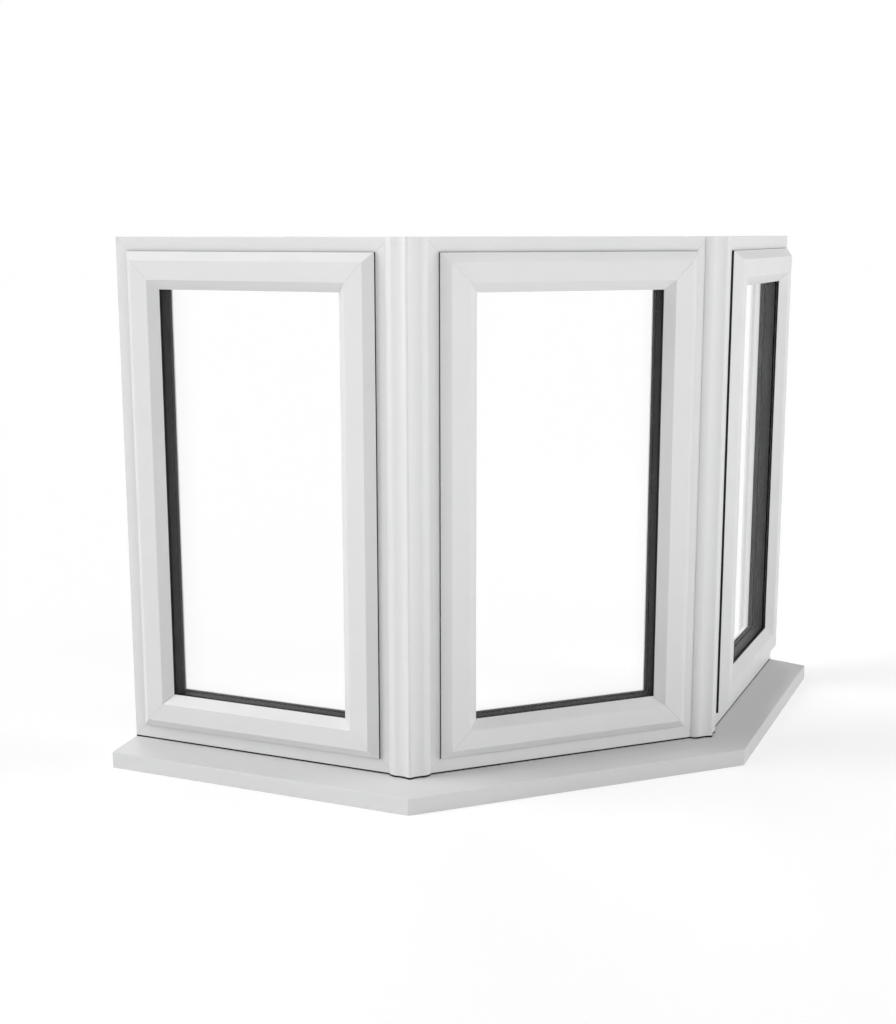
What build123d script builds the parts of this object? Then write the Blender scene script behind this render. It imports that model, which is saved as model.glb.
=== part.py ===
"""Three-facet bay window in white PVC-U on a mitred sill.

Three equal outward-opening casements stand on one sill and turn 45 degrees at two bay
posts. Lengths are millimetres, +Z is up, and the outside of the bay faces -Y. A window is
drawn from its lower left corner as seen from outside: X along its width, Y into the room,
Z up. A section is drawn at the left jamb as (inset from the frame's edge, depth into the room).
"""

from build123d import *
import os
from math import cos, radians, sin, tan

# --- Bay layout ---------------------------------------------------------------
window_width = 582.0  # one outer frame, outside edge to outside edge
window_height = 1000.0
facet_turn = 45.0  # angle between neighbouring windows, degrees
post_gap = 34.0  # from the line where two outside faces would meet to each jamb

# --- Outer frame section ------------------------------------------------------
frame_depth = 70.0
frame_leg = 38.0  # height of the outside leg that the sash lip laps
frame_leg_depth = 12.0
frame_floor = 35.0  # inset of the floor behind the leg
frame_upstand = 54.0  # height of the room-side stop
upstand_splay_inset = 8.0
upstand_splay_depth = 6.0
clip_groove_width = 6.0
clip_groove_depth = 3.0
clip_groove_setback = 14.0  # from each face of the frame to its clip groove
frame_edge_radius = 1.2

# --- Sash section ---------------------------------------------------------------
frame_face_shown = 26.8  # frame face left bare outside the sash lip
lip_lift = 4.5  # gap between the frame face and the back of the lip
sash_proud = 20.4  # how far the flat of the sash stands out of the frame face
outer_chamfer = 17.9
sash_flat = 36.0
inner_chamfer = 18.3
glass_edge_proud = 4.9  # where the inner chamfer ends, out of the frame face
glass_leg_back = 3.5  # back of the leg that holds the outer gasket
glass_leg_nose = 0.9
sash_depth = 70.0
sash_body_inset = 48.0
glazing_floor = 79.0
hardware_groove_width = 16.0
hardware_groove_depth = 2.5
hardware_slot_width = 12.0
hardware_slot_depth = 9.0
hardware_groove_middle = 30.0  # depth of the groove's middle, from the outside face
seal_gap = 4.5  # gap between the sash's back and the stop
sash_edge_radius = 0.9
weld_groove_width = 0.6
weld_groove_depth = 0.4

# --- Glazing ----------------------------------------------------------------------
pane_thickness = 4.0
pane_gap = 20.0
glass_clearance = 5.0  # glass edge to glazing floor
spacer_cover = 14.5  # glass edge to the spacer's inner face
spacer_height = 12.0
gasket_setback = 0.2  # gasket faces behind the line where the chamfer ends
gasket_bite = 9.0
bead_gasket_depth = 9.0
bead_nose = 3.5
bead_splay_inset = 7.0
bead_foot = 2.7
bead_foot_width = 3.8
bead_foot_setback = 3.6  # from the bead's room face to its foot
bead_foot_clearance = 0.2
bead_mitre_gap = 0.3
bead_edge_radius = 0.8

# --- Weather seals -------------------------------------------------------------------
seal_width = 5.0
seal_setback = 0.4  # from the lip's edge to the outer seal
inner_seal_setback = 0.8  # from the stop's edge to the inner seal

# --- Handle ----------------------------------------------------------------------------
handle_plate_width = 20.0
handle_plate_length = 128.0
handle_plate_thickness = 7.0
handle_edge_chamfer = 1.5
handle_neck_radius = 7.0
handle_standoff = 26.0  # from the sash to the back of the lever
lever_length = 112.0
lever_head_width = 19.0
lever_tip_width = 13.0
lever_thickness = 10.0
lever_edge_chamfer = 2.0

# --- Bay posts ---------------------------------------------------------------------------
pole_radius = 18.5
pole_wall = 3.5
pole_setback = 30.0  # from the corner line to the pole's axis, into the room
pole_clearance = 0.3
adaptor_back = 3.0
adaptor_back_start = 8.0
adaptor_back_length = 44.0
adaptor_cradle_width = 26.0
adaptor_cradle_reach = 12.0
cover_lap = 8.0  # how far each wing of the outside cover laps its frame
cover_wall = 2.4
cover_wing_edge = 1.0
cover_crown_place = 25.0  # crown of each wing, from the corner line
cover_crown = 6.4
cover_shoulder_share = 0.57  # of the way from the crown to the wing's edge
cover_shoulder_rise = 0.8  # height there, as a share of the crown's
cover_valley_place = 14.5
cover_valley = 5.5
cover_root_place = 0.5
cover_root = 7.8
cover_nose = 8.4  # nose of the cover, out from the corner line
cover_leg_length = 7.0
cover_leg_thickness = 2.0
cover_leg_clearance = 1.0
trim_wing = 22.0
trim_thickness = 3.0
trim_edge_radius = 1.2
trim_cove_radius = 15.0
trim_leg_width = 6.0
trim_leg_length = 12.0

# --- Sill -------------------------------------------------------------------------------
sill_projection = 82.5  # nose beyond the frame's outside face
sill_nose_height = 32.8
sill_fall = 7.7
sill_nose_radius = 2.5
drip_setback = 12.0  # from the nose to the drip groove
drip_width = 8.0
drip_depth = 5.0
end_cap_thickness = 3.0
bedding_thickness = 3.0
bedding_setback = 1.0
cover_bedding_depth = 5.0  # deepest filling below an outside cover, on the sill's fall

# --- Derived places -----------------------------------------------------------------------
half_turn = facet_turn / 2
corner_x = window_width / 2 + post_gap
facet_end = post_gap + window_width
sash_back = sash_depth - sash_proud
stop_front = sash_back + seal_gap
lip_top = frame_face_shown + outer_chamfer
flat_end = lip_top + sash_flat
sightline = flat_end + inner_chamfer
glass_back = 2 * pane_thickness + pane_gap
glass_edge = glazing_floor + glass_clearance
bead_front = glass_back + bead_gasket_depth
sill_top = sill_nose_height + sill_fall
frame_base = sill_top + bedding_thickness
front_y = -sill_projection
rear_y = facet_end * sin(radians(facet_turn)) + frame_depth * cos(radians(facet_turn))
centring = -(front_y + rear_y) / 2  # puts the origin in the middle of the plan


def section(*corners):
    """Face from (x, y, radius) corners, in order round the outline."""
    points = [(x, y) for x, y, radius in corners]
    radii = [radius for x, y, radius in corners]
    return make_face(FilletPolyline(*points, radius=radii, close=True))


def bar(profile, length, gap=0.0):
    """One side of a mitred ring, along Z from 0 to length, cut back by gap at each mitre."""
    straight = extrude(profile, length)
    span = 2 * length
    lower = Plane((0, 0, gap), x_dir=(0, 1, 0), z_dir=(1, 0, -1))
    upper = Plane((0, 0, length - gap), x_dir=(0, 1, 0), z_dir=(1, 0, 1))
    straight -= extrude(lower * Rectangle(span, span), span)
    straight -= extrude(upper * Rectangle(span, span), span)
    return straight


def ring_bars(profile, width, height, gap=0.0):
    """Left, bottom, right and top bars of a rectangular ring, mitred at its corners."""
    upright = bar(profile, height, gap)
    level = bar(profile, width, gap)
    bottom = Rot(0, 90, 0) * mirror(level, about=Plane.YZ)
    return [
        upright,
        bottom,
        Pos(width, 0, 0) * mirror(upright, about=Plane.YZ),
        Pos(0, 0, height) * mirror(bottom, about=Plane.XY),
    ]


def ring(profile, width, height):
    """Welded ring: the four mitred bars as one solid."""
    bars = ring_bars(profile, width, height)
    return bars[0] + bars[1] + bars[2] + bars[3]


def outer_frame_section():
    groove_back = frame_depth - clip_groove_setback
    groove_front = clip_groove_setback
    r = frame_edge_radius
    return section(
        (0, 0, r),
        (frame_leg, 0, r),
        (frame_leg, frame_leg_depth, 0),
        (frame_floor, frame_leg_depth, 0),
        (frame_floor, stop_front, 0),
        (frame_upstand, stop_front, r),
        (frame_upstand, frame_depth - upstand_splay_depth, r),
        (frame_upstand - upstand_splay_inset, frame_depth, r),
        (0, frame_depth, r),
        (0, groove_back, 0),
        (clip_groove_depth, groove_back, 0),
        (clip_groove_depth, groove_back - clip_groove_width, 0),
        (0, groove_back - clip_groove_width, 0),
        (0, groove_front + clip_groove_width, 0),
        (clip_groove_depth, groove_front + clip_groove_width, 0),
        (clip_groove_depth, groove_front, 0),
        (0, groove_front, 0),
    )


def sash_section():
    slot = sash_body_inset + hardware_slot_depth
    groove = sash_body_inset + hardware_groove_depth
    groove_half = hardware_groove_width / 2
    slot_half = hardware_slot_width / 2
    middle = hardware_groove_middle
    foot_back = sash_back - bead_foot_setback + bead_foot_clearance
    foot_front = foot_back - bead_foot_width - 2 * bead_foot_clearance
    foot_floor = glazing_floor - bead_foot - bead_foot_clearance
    r = sash_edge_radius
    return section(
        (frame_face_shown, -lip_lift, r / 2),
        (lip_top, -sash_proud, r),
        (flat_end, -sash_proud, r),
        (sightline, -glass_edge_proud, r / 3),
        (sightline - glass_leg_nose, -glass_leg_back, 0),
        (glazing_floor, -glass_leg_back, 0),
        (glazing_floor, foot_front, 0),
        (foot_floor, foot_front, 0),
        (foot_floor, foot_back, 0),
        (glazing_floor, foot_back, 0),
        (glazing_floor, sash_back, 0),
        (sash_body_inset, sash_back, r),
        (sash_body_inset, middle + groove_half, 0),
        (groove, middle + groove_half, 0),
        (groove, middle + slot_half, 0),
        (slot, middle + slot_half, 0),
        (slot, middle - slot_half, 0),
        (groove, middle - slot_half, 0),
        (groove, middle - groove_half, 0),
        (sash_body_inset, middle - groove_half, 0),
        (sash_body_inset, -lip_lift, 0),
    )


def bead_section():
    foot_back = sash_back - bead_foot_setback
    foot_front = foot_back - bead_foot_width
    foot_end = glazing_floor - bead_foot
    r = bead_edge_radius
    return section(
        (glazing_floor, bead_front, 0),
        (sightline, bead_front, 0),
        (sightline, bead_front + bead_nose, r),
        (sightline - bead_splay_inset, sash_back, r),
        (glazing_floor, sash_back, 0),
        (glazing_floor, foot_back, 0),
        (foot_end, foot_back, 0),
        (foot_end, foot_front, 0),
        (glazing_floor, foot_front, 0),
    )


def block_section(inset, far_inset, depth, far_depth):
    return section(
        (inset, depth, 0),
        (far_inset, depth, 0),
        (far_inset, far_depth, 0),
        (inset, far_depth, 0),
    )


def mitre_grooves(face_line):
    """Cutters for the fine welding grooves at the four mitres of one (inset, depth) face."""
    near = [(x, y - weld_groove_depth) for x, y in face_line]
    far = [(x, y + weld_groove_depth) for x, y in reversed(face_line)]
    reach = 2 * max(x for x, y in face_line)
    face_skin = extrude(make_face(Polyline(*near, *far, close=True)), reach)
    mitre_plane = Rot(0, -45, 0) * Box(2 * reach, 2 * reach, weld_groove_width)
    lower_left = face_skin & mitre_plane
    lower_right = Pos(window_width, 0, 0) * mirror(lower_left, about=Plane.YZ)
    lower = [lower_left, lower_right]
    return lower + [Pos(0, 0, window_height) * mirror(cut, about=Plane.XY) for cut in lower]


def outer_frame():
    frame = ring(outer_frame_section(), window_width, window_height)
    splay_end = frame_upstand - upstand_splay_inset
    outside = [(-weld_groove_depth, 0), (frame_leg, 0)]
    room_side = [
        (-weld_groove_depth, frame_depth),
        (splay_end, frame_depth),
        (frame_upstand, frame_depth - upstand_splay_depth),
    ]
    return frame - mitre_grooves(outside) - mitre_grooves(room_side)


def sash():
    outside = [
        (frame_face_shown, -lip_lift),
        (lip_top, -sash_proud),
        (flat_end, -sash_proud),
        (sightline, -glass_edge_proud),
    ]
    room_side = [(sash_body_inset, sash_back), (glazing_floor, sash_back)]
    welded = ring(sash_section(), window_width, window_height)
    return welded - mitre_grooves(outside) - mitre_grooves(room_side)


def glazing_beads():
    return ring_bars(bead_section(), window_width, window_height, bead_mitre_gap)


def glass():
    pane_width = window_width - 2 * glass_edge
    pane_height = window_height - 2 * glass_edge
    corner = (Align.MIN, Align.MIN, Align.MIN)
    pane = Box(pane_width, pane_thickness, pane_height, align=corner)
    outer = Pos(glass_edge, 0, glass_edge) * pane
    return [outer, Pos(0, pane_thickness + pane_gap, 0) * outer]


def spacer_bar():
    inner_face = glass_edge + spacer_cover
    profile = block_section(
        inner_face - spacer_height, inner_face, pane_thickness, pane_thickness + pane_gap
    )
    return ring(profile, window_width, window_height)


def glass_gaskets():
    face = sightline - gasket_setback
    outer = block_section(face - gasket_bite, face, -glass_leg_back, 0)
    inner = block_section(face - gasket_bite, face, glass_back, bead_front)
    outside = ring(outer, window_width, window_height)
    return [outside, ring(inner, window_width, window_height)]


def weather_seals():
    outer_edge = frame_face_shown + seal_setback
    inner_edge = frame_upstand - inner_seal_setback
    outer = block_section(outer_edge, outer_edge + seal_width, -lip_lift, 0)
    inner = block_section(inner_edge - seal_width, inner_edge, sash_back, stop_front)
    outside = ring(outer, window_width, window_height)
    return [outside, ring(inner, window_width, window_height)]


def handle_plate():
    """Long rounded plate on the sash's room face, its middle at X = 0, Z = 0."""
    pad = SlotOverall(handle_plate_length, handle_plate_width, rotation=90)
    solid = extrude(Plane.XZ * pad, -handle_plate_thickness)
    front = solid.faces().sort_by(Axis.Y)[-1]
    return chamfer(front.edges(), handle_edge_chamfer)


def handle_lever():
    """Cranked lever that points down, with its neck on the plate."""
    neck_length = handle_standoff - handle_plate_thickness
    neck = Cylinder(handle_neck_radius, neck_length, align=(Align.CENTER, Align.CENTER, Align.MIN))
    head = Circle(lever_head_width / 2)
    tip = Pos(0, -lever_length) * Circle(lever_tip_width / 2)
    outline = make_hull((head + tip).edges())
    grip = extrude(Plane.XZ * outline, -lever_thickness)
    front = grip.faces().sort_by(Axis.Y)[-1]
    grip = Pos(0, handle_standoff, 0) * chamfer(front.edges(), lever_edge_chamfer)
    return Pos(0, handle_plate_thickness, 0) * (Rot(-90, 0, 0) * neck) + grip


def corner_point(side, along, out):
    """Plan point at a bay corner, from a facet's own along and out, with +Y into the room."""
    turn = radians(half_turn)
    x = along * cos(turn) + out * sin(turn)
    y = along * sin(turn) - out * cos(turn)
    return (side * x, y)


def cover_outline(start, thinner):
    """Half outlines of the outside cover, right then left, joined at its nose."""
    crown = (cover_crown_place, cover_crown - thinner)
    shoulder_place = cover_crown_place + (start - cover_crown_place) * cover_shoulder_share
    shoulder = (shoulder_place, (cover_crown - thinner) * cover_shoulder_rise)
    valley = (cover_valley_place, cover_valley - thinner)
    root = (cover_root_place, cover_root - thinner)
    edge = (start, cover_wing_edge)
    lines = []
    for side in (1, -1):
        marks = [corner_point(side, *mark) for mark in (edge, shoulder, crown, valley, root)]
        lines.append(ThreePointArc(marks[0], marks[1], marks[2]))
        lines.append(ThreePointArc(marks[2], marks[3], marks[4]))
    nose = (0, -(cover_nose - thinner))
    lines.append(ThreePointArc(corner_point(1, *root), nose, corner_point(-1, *root)))
    return lines


def cover_footprint():
    """Plan of the outside cover with everything behind it, down to the corner line."""
    lap = post_gap + cover_lap
    lines = cover_outline(lap, 0)
    for side in (1, -1):
        edge = corner_point(side, lap, cover_wing_edge)
        seat = corner_point(side, lap, 0)
        lines += [Line(edge, seat), Line(seat, (0, 0))]
    return make_face(lines)


def outside_cover():
    leg_out = post_gap - cover_leg_clearance
    leg_in = leg_out - cover_leg_thickness
    hollow = cover_outline(leg_in, cover_wall)
    for side in (1, -1):
        edge = corner_point(side, leg_in, cover_wing_edge)
        hollow += [Line(edge, corner_point(side, leg_in, 0))]
        hollow += [Line(corner_point(side, leg_in, 0), (0, 0))]
    plan = cover_footprint() - make_face(hollow)
    for side in (1, -1):
        leg = [
            corner_point(side, leg_in, cover_wing_edge),
            corner_point(side, leg_out, cover_wing_edge),
            corner_point(side, leg_out, -cover_leg_length),
            corner_point(side, leg_in, -cover_leg_length),
        ]
        plan += make_face(Polyline(*leg, close=True))
    return extrude(plan, window_height)


def bay_pole():
    tube = Circle(pole_radius) - Circle(pole_radius - pole_wall)
    return extrude(Pos(0, pole_setback) * tube, window_height)


def post_adaptors():
    """Cradle between the pole and each frame's jamb."""
    middle = -pole_setback * cos(radians(half_turn))
    back_end = adaptor_back_start + adaptor_back_length
    half = adaptor_cradle_width / 2
    cradle_in = post_gap - adaptor_cradle_reach
    pole_room = Pos(0, pole_setback) * Circle(pole_radius + pole_clearance)
    pieces = []
    for side in (1, -1):
        plate = [
            corner_point(side, post_gap, -adaptor_back_start),
            corner_point(side, post_gap, -back_end),
            corner_point(side, post_gap - adaptor_back, -back_end),
            corner_point(side, post_gap - adaptor_back, -adaptor_back_start),
        ]
        cradle = [
            corner_point(side, post_gap, middle + half),
            corner_point(side, post_gap, middle - half),
            corner_point(side, cradle_in, middle - half),
            corner_point(side, cradle_in, middle + half),
        ]
        plan = make_face(Polyline(*plate, close=True)) + make_face(Polyline(*cradle, close=True))
        pieces.append(extrude(plan - pole_room, window_height))
    return pieces


def inside_cover():
    """Angle trim in the corner on the room side, with a leg that snaps between the jambs."""
    room_corner = frame_depth * tan(radians(half_turn))
    tip = room_corner + trim_wing
    back = frame_depth
    front = frame_depth + trim_thickness
    corner_y = frame_depth / cos(radians(half_turn))
    cove_y = front / cos(radians(half_turn))
    r = trim_edge_radius
    trim = section(
        (*corner_point(1, tip, -back), 0),
        (*corner_point(1, tip, -front), r),
        (0, cove_y, trim_cove_radius),
        (*corner_point(-1, tip, -front), r),
        (*corner_point(-1, tip, -back), 0),
        (0, corner_y, 0),
    )
    leg_middle = corner_y + (trim_thickness - trim_leg_length) / 2
    leg = Pos(0, leg_middle) * Rectangle(trim_leg_width, trim_leg_length + trim_thickness)
    return extrude(trim + (leg - make_face(room_side(corner_y))), window_height)


def room_side(corner_y):
    """Outline of the room beyond the two inside faces, to trim the inside cover's leg."""
    reach = 2 * trim_wing
    left = corner_point(-1, frame_depth * tan(radians(half_turn)) + reach, -frame_depth)
    right = (-left[0], left[1])
    return Polyline((0, corner_y), right, left, close=True)


def sill_section():
    """Section of the sill as (depth, height), nose at the left."""
    drip = front_y + drip_setback
    r = sill_nose_radius
    return section(
        (front_y, 0, r / 2),
        (front_y, sill_nose_height, r),
        (0, sill_top, 0),
        (frame_depth, sill_top, 0),
        (frame_depth, 0, 0),
        (drip + drip_width, 0, 0),
        (drip + drip_width, drip_depth, 0),
        (drip, drip_depth, 0),
        (drip, 0, 0),
    )


def sill_run(left, right):
    """Sill along X, between plan lines at X = left and right where Y is 0.

    A pair (x, slope) gives each line: the slope is the change of X for each unit of Y.
    """
    corners = []
    for y in (front_y, frame_depth):
        corners.append((left[0] + left[1] * y, y))
    for y in (frame_depth, front_y):
        corners.append((right[0] + right[1] * y, y))
    plan = extrude(make_face(Polyline(*corners, close=True)), sill_top)
    reach = 2 * facet_end
    length = Pos(-reach, 0, 0) * extrude(Plane.YZ * sill_section(), 2 * reach)
    return plan & length


def bedding(sills, covers):
    """Seal between sill and frames, carried out under the outside covers."""
    slope = tan(radians(half_turn))
    strips = []
    front = bedding_setback
    back = frame_depth - bedding_setback
    for x_left, slope_left, x_right, slope_right, placing in (
        (-corner_x, slope, corner_x, -slope, None),
        (-corner_x, slope, facet_end - corner_x, 0, "right"),
        (corner_x - facet_end, 0, corner_x, -slope, "left"),
    ):
        plan = Polyline(
            (x_left + slope_left * front, front),
            (x_left + slope_left * back, back),
            (x_right + slope_right * back, back),
            (x_right + slope_right * front, front),
            close=True,
        )
        strip = Pos(0, 0, sill_top) * extrude(make_face(plan), bedding_thickness)
        strips.append(strip if placing is None else facet_place(placing) * strip)
    seal = strips[0] + strips[1] + strips[2]
    for cover in covers:
        seal += cover
    return seal - sills


def facet_place(side):
    """Place of a side facet whose corner line lies at the centre facet's end."""
    sign = 1 if side == "right" else -1
    return Pos(sign * corner_x, 0, 0) * Rot(0, 0, sign * facet_turn) * Pos(sign * corner_x, 0, 0)


def corner_place(side):
    """Place of a bay corner, with +Y along its middle line into the room."""
    sign = 1 if side == "right" else -1
    return Pos(sign * corner_x, 0, 0) * Rot(0, 0, sign * half_turn)


def save(name, shapes, place):
    """Writes one node, moved to its place with the bay's plan centred on the origin."""
    shapes = shapes if isinstance(shapes, list) else [shapes]
    moved = [Pos(0, centring, 0) * place * shape for shape in shapes]
    solids = [solid for shape in moved for solid in shape.solids()]
    shape = solids[0] if len(solids) == 1 else Compound(children=solids)
    shape.label = name
    export_step(shape, f"parts/{name}.step")


def main():
    os.makedirs("parts", exist_ok=True)
    facets = {
        "left": (facet_place("left"), window_width),
        "centre": (Location(), 0),
        "right": (facet_place("right"), 0),
    }
    pieces = {
        "outer_frame": outer_frame(),
        "sash": sash(),
        "glazing_beads": glazing_beads(),
        "glass": glass(),
        "spacer_bar": spacer_bar(),
        "glass_gaskets": glass_gaskets(),
        "weather_seals": weather_seals(),
    }
    stile_middle = (frame_upstand + glazing_floor) / 2
    plate = handle_plate()
    lever = handle_lever()
    for facet, (place, handle_edge) in facets.items():
        window_place = place * Pos(-window_width / 2, 0, frame_base)
        for piece, shapes in pieces.items():
            save(f"{facet}_{piece}", shapes, window_place)
        handle_x = abs(handle_edge - stile_middle)
        handle_place = window_place * Pos(handle_x, sash_back, window_height / 2)
        save(f"{facet}_handle_plate", plate, handle_place)
        save(f"{facet}_handle_lever", lever, handle_place)

    slope = tan(radians(half_turn))
    sill_end = facet_end - corner_x - end_cap_thickness
    sills = {
        "left": sill_run((-sill_end, 0), (corner_x, -slope)),
        "centre": sill_run((-corner_x, slope), (corner_x, -slope)),
        "right": sill_run((-corner_x, slope), (sill_end, 0)),
    }
    for facet, sill in sills.items():
        save(f"{facet}_sill", sill, facets[facet][0])
    cap = extrude(Plane.YZ * sill_section(), end_cap_thickness)
    save("left_sill_end_cap", cap, facets["left"][0] * Pos(-sill_end - end_cap_thickness, 0, 0))
    save("right_sill_end_cap", cap, facets["right"][0] * Pos(sill_end, 0, 0))

    base = Pos(0, 0, frame_base)
    for side in ("left", "right"):
        place = corner_place(side) * base
        save(f"{side}_bay_pole", bay_pole(), place)
        save(f"{side}_post_adaptors", post_adaptors(), place)
        save(f"{side}_outside_cover", outside_cover(), place)
        save(f"{side}_inside_cover", inside_cover(), place)

    filling = bedding_thickness + cover_bedding_depth
    pad = Pos(0, 0, frame_base - filling) * extrude(cover_footprint(), filling)
    placed_sills = [facets[facet][0] * sill for facet, sill in sills.items()]
    covers = [corner_place(side) * pad for side in ("left", "right")]
    save("bedding_seal", bedding(placed_sills, covers), Location())


main()
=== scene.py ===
"""Looks of a three-facet bay window in white PVC-U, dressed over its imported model.

Sizes in the classes are millimetres and become metres where a mesh is made. A section is
drawn as (inset from the frame's edge, depth into the room), and a window stands with its
lower left outside corner at its own origin: X along its width, Y into the room, Z up.
"""

import logging
import math
from dataclasses import dataclass
from enum import Enum
from functools import cache
from typing import Any, ClassVar, Iterable, Mapping, Sequence

import bmesh
import bpy
from mathutils import Matrix, Vector


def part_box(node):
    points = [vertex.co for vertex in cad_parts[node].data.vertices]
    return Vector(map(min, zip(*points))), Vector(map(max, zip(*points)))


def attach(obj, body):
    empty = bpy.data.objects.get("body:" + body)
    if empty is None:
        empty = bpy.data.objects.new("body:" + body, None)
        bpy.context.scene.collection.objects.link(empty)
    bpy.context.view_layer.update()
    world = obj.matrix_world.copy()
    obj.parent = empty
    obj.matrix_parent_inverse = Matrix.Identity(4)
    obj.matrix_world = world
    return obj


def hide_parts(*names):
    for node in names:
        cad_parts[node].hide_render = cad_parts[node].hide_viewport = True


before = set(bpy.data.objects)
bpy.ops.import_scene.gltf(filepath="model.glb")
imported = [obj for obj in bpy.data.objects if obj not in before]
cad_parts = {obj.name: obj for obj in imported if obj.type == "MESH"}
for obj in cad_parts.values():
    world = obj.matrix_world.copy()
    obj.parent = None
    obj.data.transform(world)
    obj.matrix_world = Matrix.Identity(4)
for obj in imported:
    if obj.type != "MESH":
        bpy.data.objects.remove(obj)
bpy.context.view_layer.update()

LOG = logging.getLogger("bay_window")
MM = 0.001
BODY = "root"
ARC_STEPS = 5
BLOCK_STEPS = 3
SHARP_ANGLE = math.radians(32)
FLAT_FACE_WEIGHT = 80
TOUCHING = 1e-6  # metres between points that count as one
THIN_GROOVE = 0.05  # millimetres at each end of a bar that has no weld
NOISE_LOW, NOISE_HIGH = 0.3, 0.7  # where most of a noise lies
NOISE_DETAIL = 2.0

Point = tuple[float, float]
Loop = list[Point]


class Facet(Enum):
    """The three windows of the bay, with the sign of the turn that each one has."""

    LEFT = -1
    CENTRE = 0
    RIGHT = 1

    @property
    def label(self) -> str:
        """Name of the facet as the model's nodes have it."""
        return self.name.lower()


# --- Nodes and meshes ---------------------------------------------------------------------


def add_node(
    tree: bpy.types.NodeTree,
    kind: str,
    inputs: Mapping[Any, Any] | None = None,
    **settings: Any,
) -> bpy.types.Node:
    """Adds a node to a tree.

    Args:
        tree: The shader or geometry tree.
        kind: The node's type name.
        inputs: Values or sockets to link, by the input's name or number.
        **settings: Properties of the node.

    Returns:
        The new node.
    """
    node = tree.nodes.new(kind)
    for name, value in settings.items():
        setattr(node, name, value)
    for key, value in (inputs or {}).items():
        if isinstance(value, bpy.types.NodeSocket):
            tree.links.new(value, node.inputs[key])
        else:
            node.inputs[key].default_value = value
    return node


def linear_colour(hex_code: str) -> tuple[float, float, float, float]:
    """Turns an sRGB colour to a linear one.

    Args:
        hex_code: The colour, such as #e8eaea.

    Returns:
        Linear red, green and blue, and an alpha of 1.
    """
    channels = [int(hex_code[i : i + 2], 16) / 255 for i in (1, 3, 5)]
    linear = [c / 12.92 if c <= 0.04045 else ((c + 0.055) / 1.055) ** 2.4 for c in channels]
    return (*linear, 1.0)


def fillet(corners: Sequence[tuple[float, float, float]], steps: int = ARC_STEPS) -> Loop:
    """Rounds the corners of a closed outline.

    Args:
        corners: (x, y, radius) in order, where a radius of 0 leaves the corner sharp.
        steps: Straight pieces in each rounded corner.

    Returns:
        The outline's points.
    """
    loop: Loop = []
    for i, (x, y, radius) in enumerate(corners):
        here = Vector((x, y))
        if radius <= 0:
            loop.append((x, y))
            continue
        before = (Vector(corners[i - 1][:2]) - here).normalized()
        after = (Vector(corners[(i + 1) % len(corners)][:2]) - here).normalized()
        half = before.angle(after) / 2
        middle = here + (before + after).normalized() * (radius / math.sin(half))
        start = here + before * (radius / math.tan(half)) - middle
        end = here + after * (radius / math.tan(half)) - middle
        sweep = start.angle_signed(end)
        for step in range(steps + 1):
            turn = Matrix.Rotation(-sweep * step / steps, 2)
            loop.append(tuple(middle + turn @ start))
    return loop


def arc_through(start: Point, via: Point, end: Point, steps: int) -> Loop:
    """Follows the circle through three points.

    Args:
        start: Where the arc starts.
        via: A point on its way.
        end: Where it ends.
        steps: Straight pieces in the arc.

    Returns:
        Points along the arc, without the last one.
    """
    (ax, ay), (bx, by), (cx, cy) = start, via, end
    d = 2 * (ax * (by - cy) + bx * (cy - ay) + cx * (ay - by))
    a, b, c = ax * ax + ay * ay, bx * bx + by * by, cx * cx + cy * cy
    middle = Vector(((a * (by - cy) + b * (cy - ay) + c * (ay - by)) / d,
                     (a * (cx - bx) + b * (ax - cx) + c * (bx - ax)) / d))
    first = Vector(start) - middle
    turn = first.angle_signed(Vector(end) - middle)
    return [tuple(middle + Matrix.Rotation(-turn * i / steps, 2) @ first) for i in range(steps)]


def section_mesh(loops: Iterable[Loop]) -> bpy.types.Mesh:
    """Draws a section's outlines in the XY plane.

    Args:
        loops: Closed outlines in millimetres.

    Returns:
        Edges in metres, with the distance round each outline in the attribute "round".
    """
    points: list[Vector] = []
    edges: list[tuple[int, int]] = []
    distances: list[float] = []
    for loop in loops:
        area = sum(p[0] * q[1] - q[0] * p[1] for p, q in zip(loop, loop[1:] + loop[:1]))
        ordered = loop if area < 0 else loop[::-1]
        base = len(points)
        run = 0.0
        for i, point in enumerate(ordered):
            if i:
                run += math.dist(point, ordered[i - 1]) * MM
            points.append(Vector((*point, 0)) * MM)
            distances.append(run)
            edges.append((base + i, base + (i + 1) % len(ordered)))
    mesh = bpy.data.meshes.new("section")
    mesh.from_pydata(points, edges, [])
    attribute = mesh.attributes.new("round", "FLOAT", "POINT")
    attribute.data.foreach_set("value", distances)
    return mesh


# --- Geometry Nodes: bars, welded rings and spacer slits ------------------------------------


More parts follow.
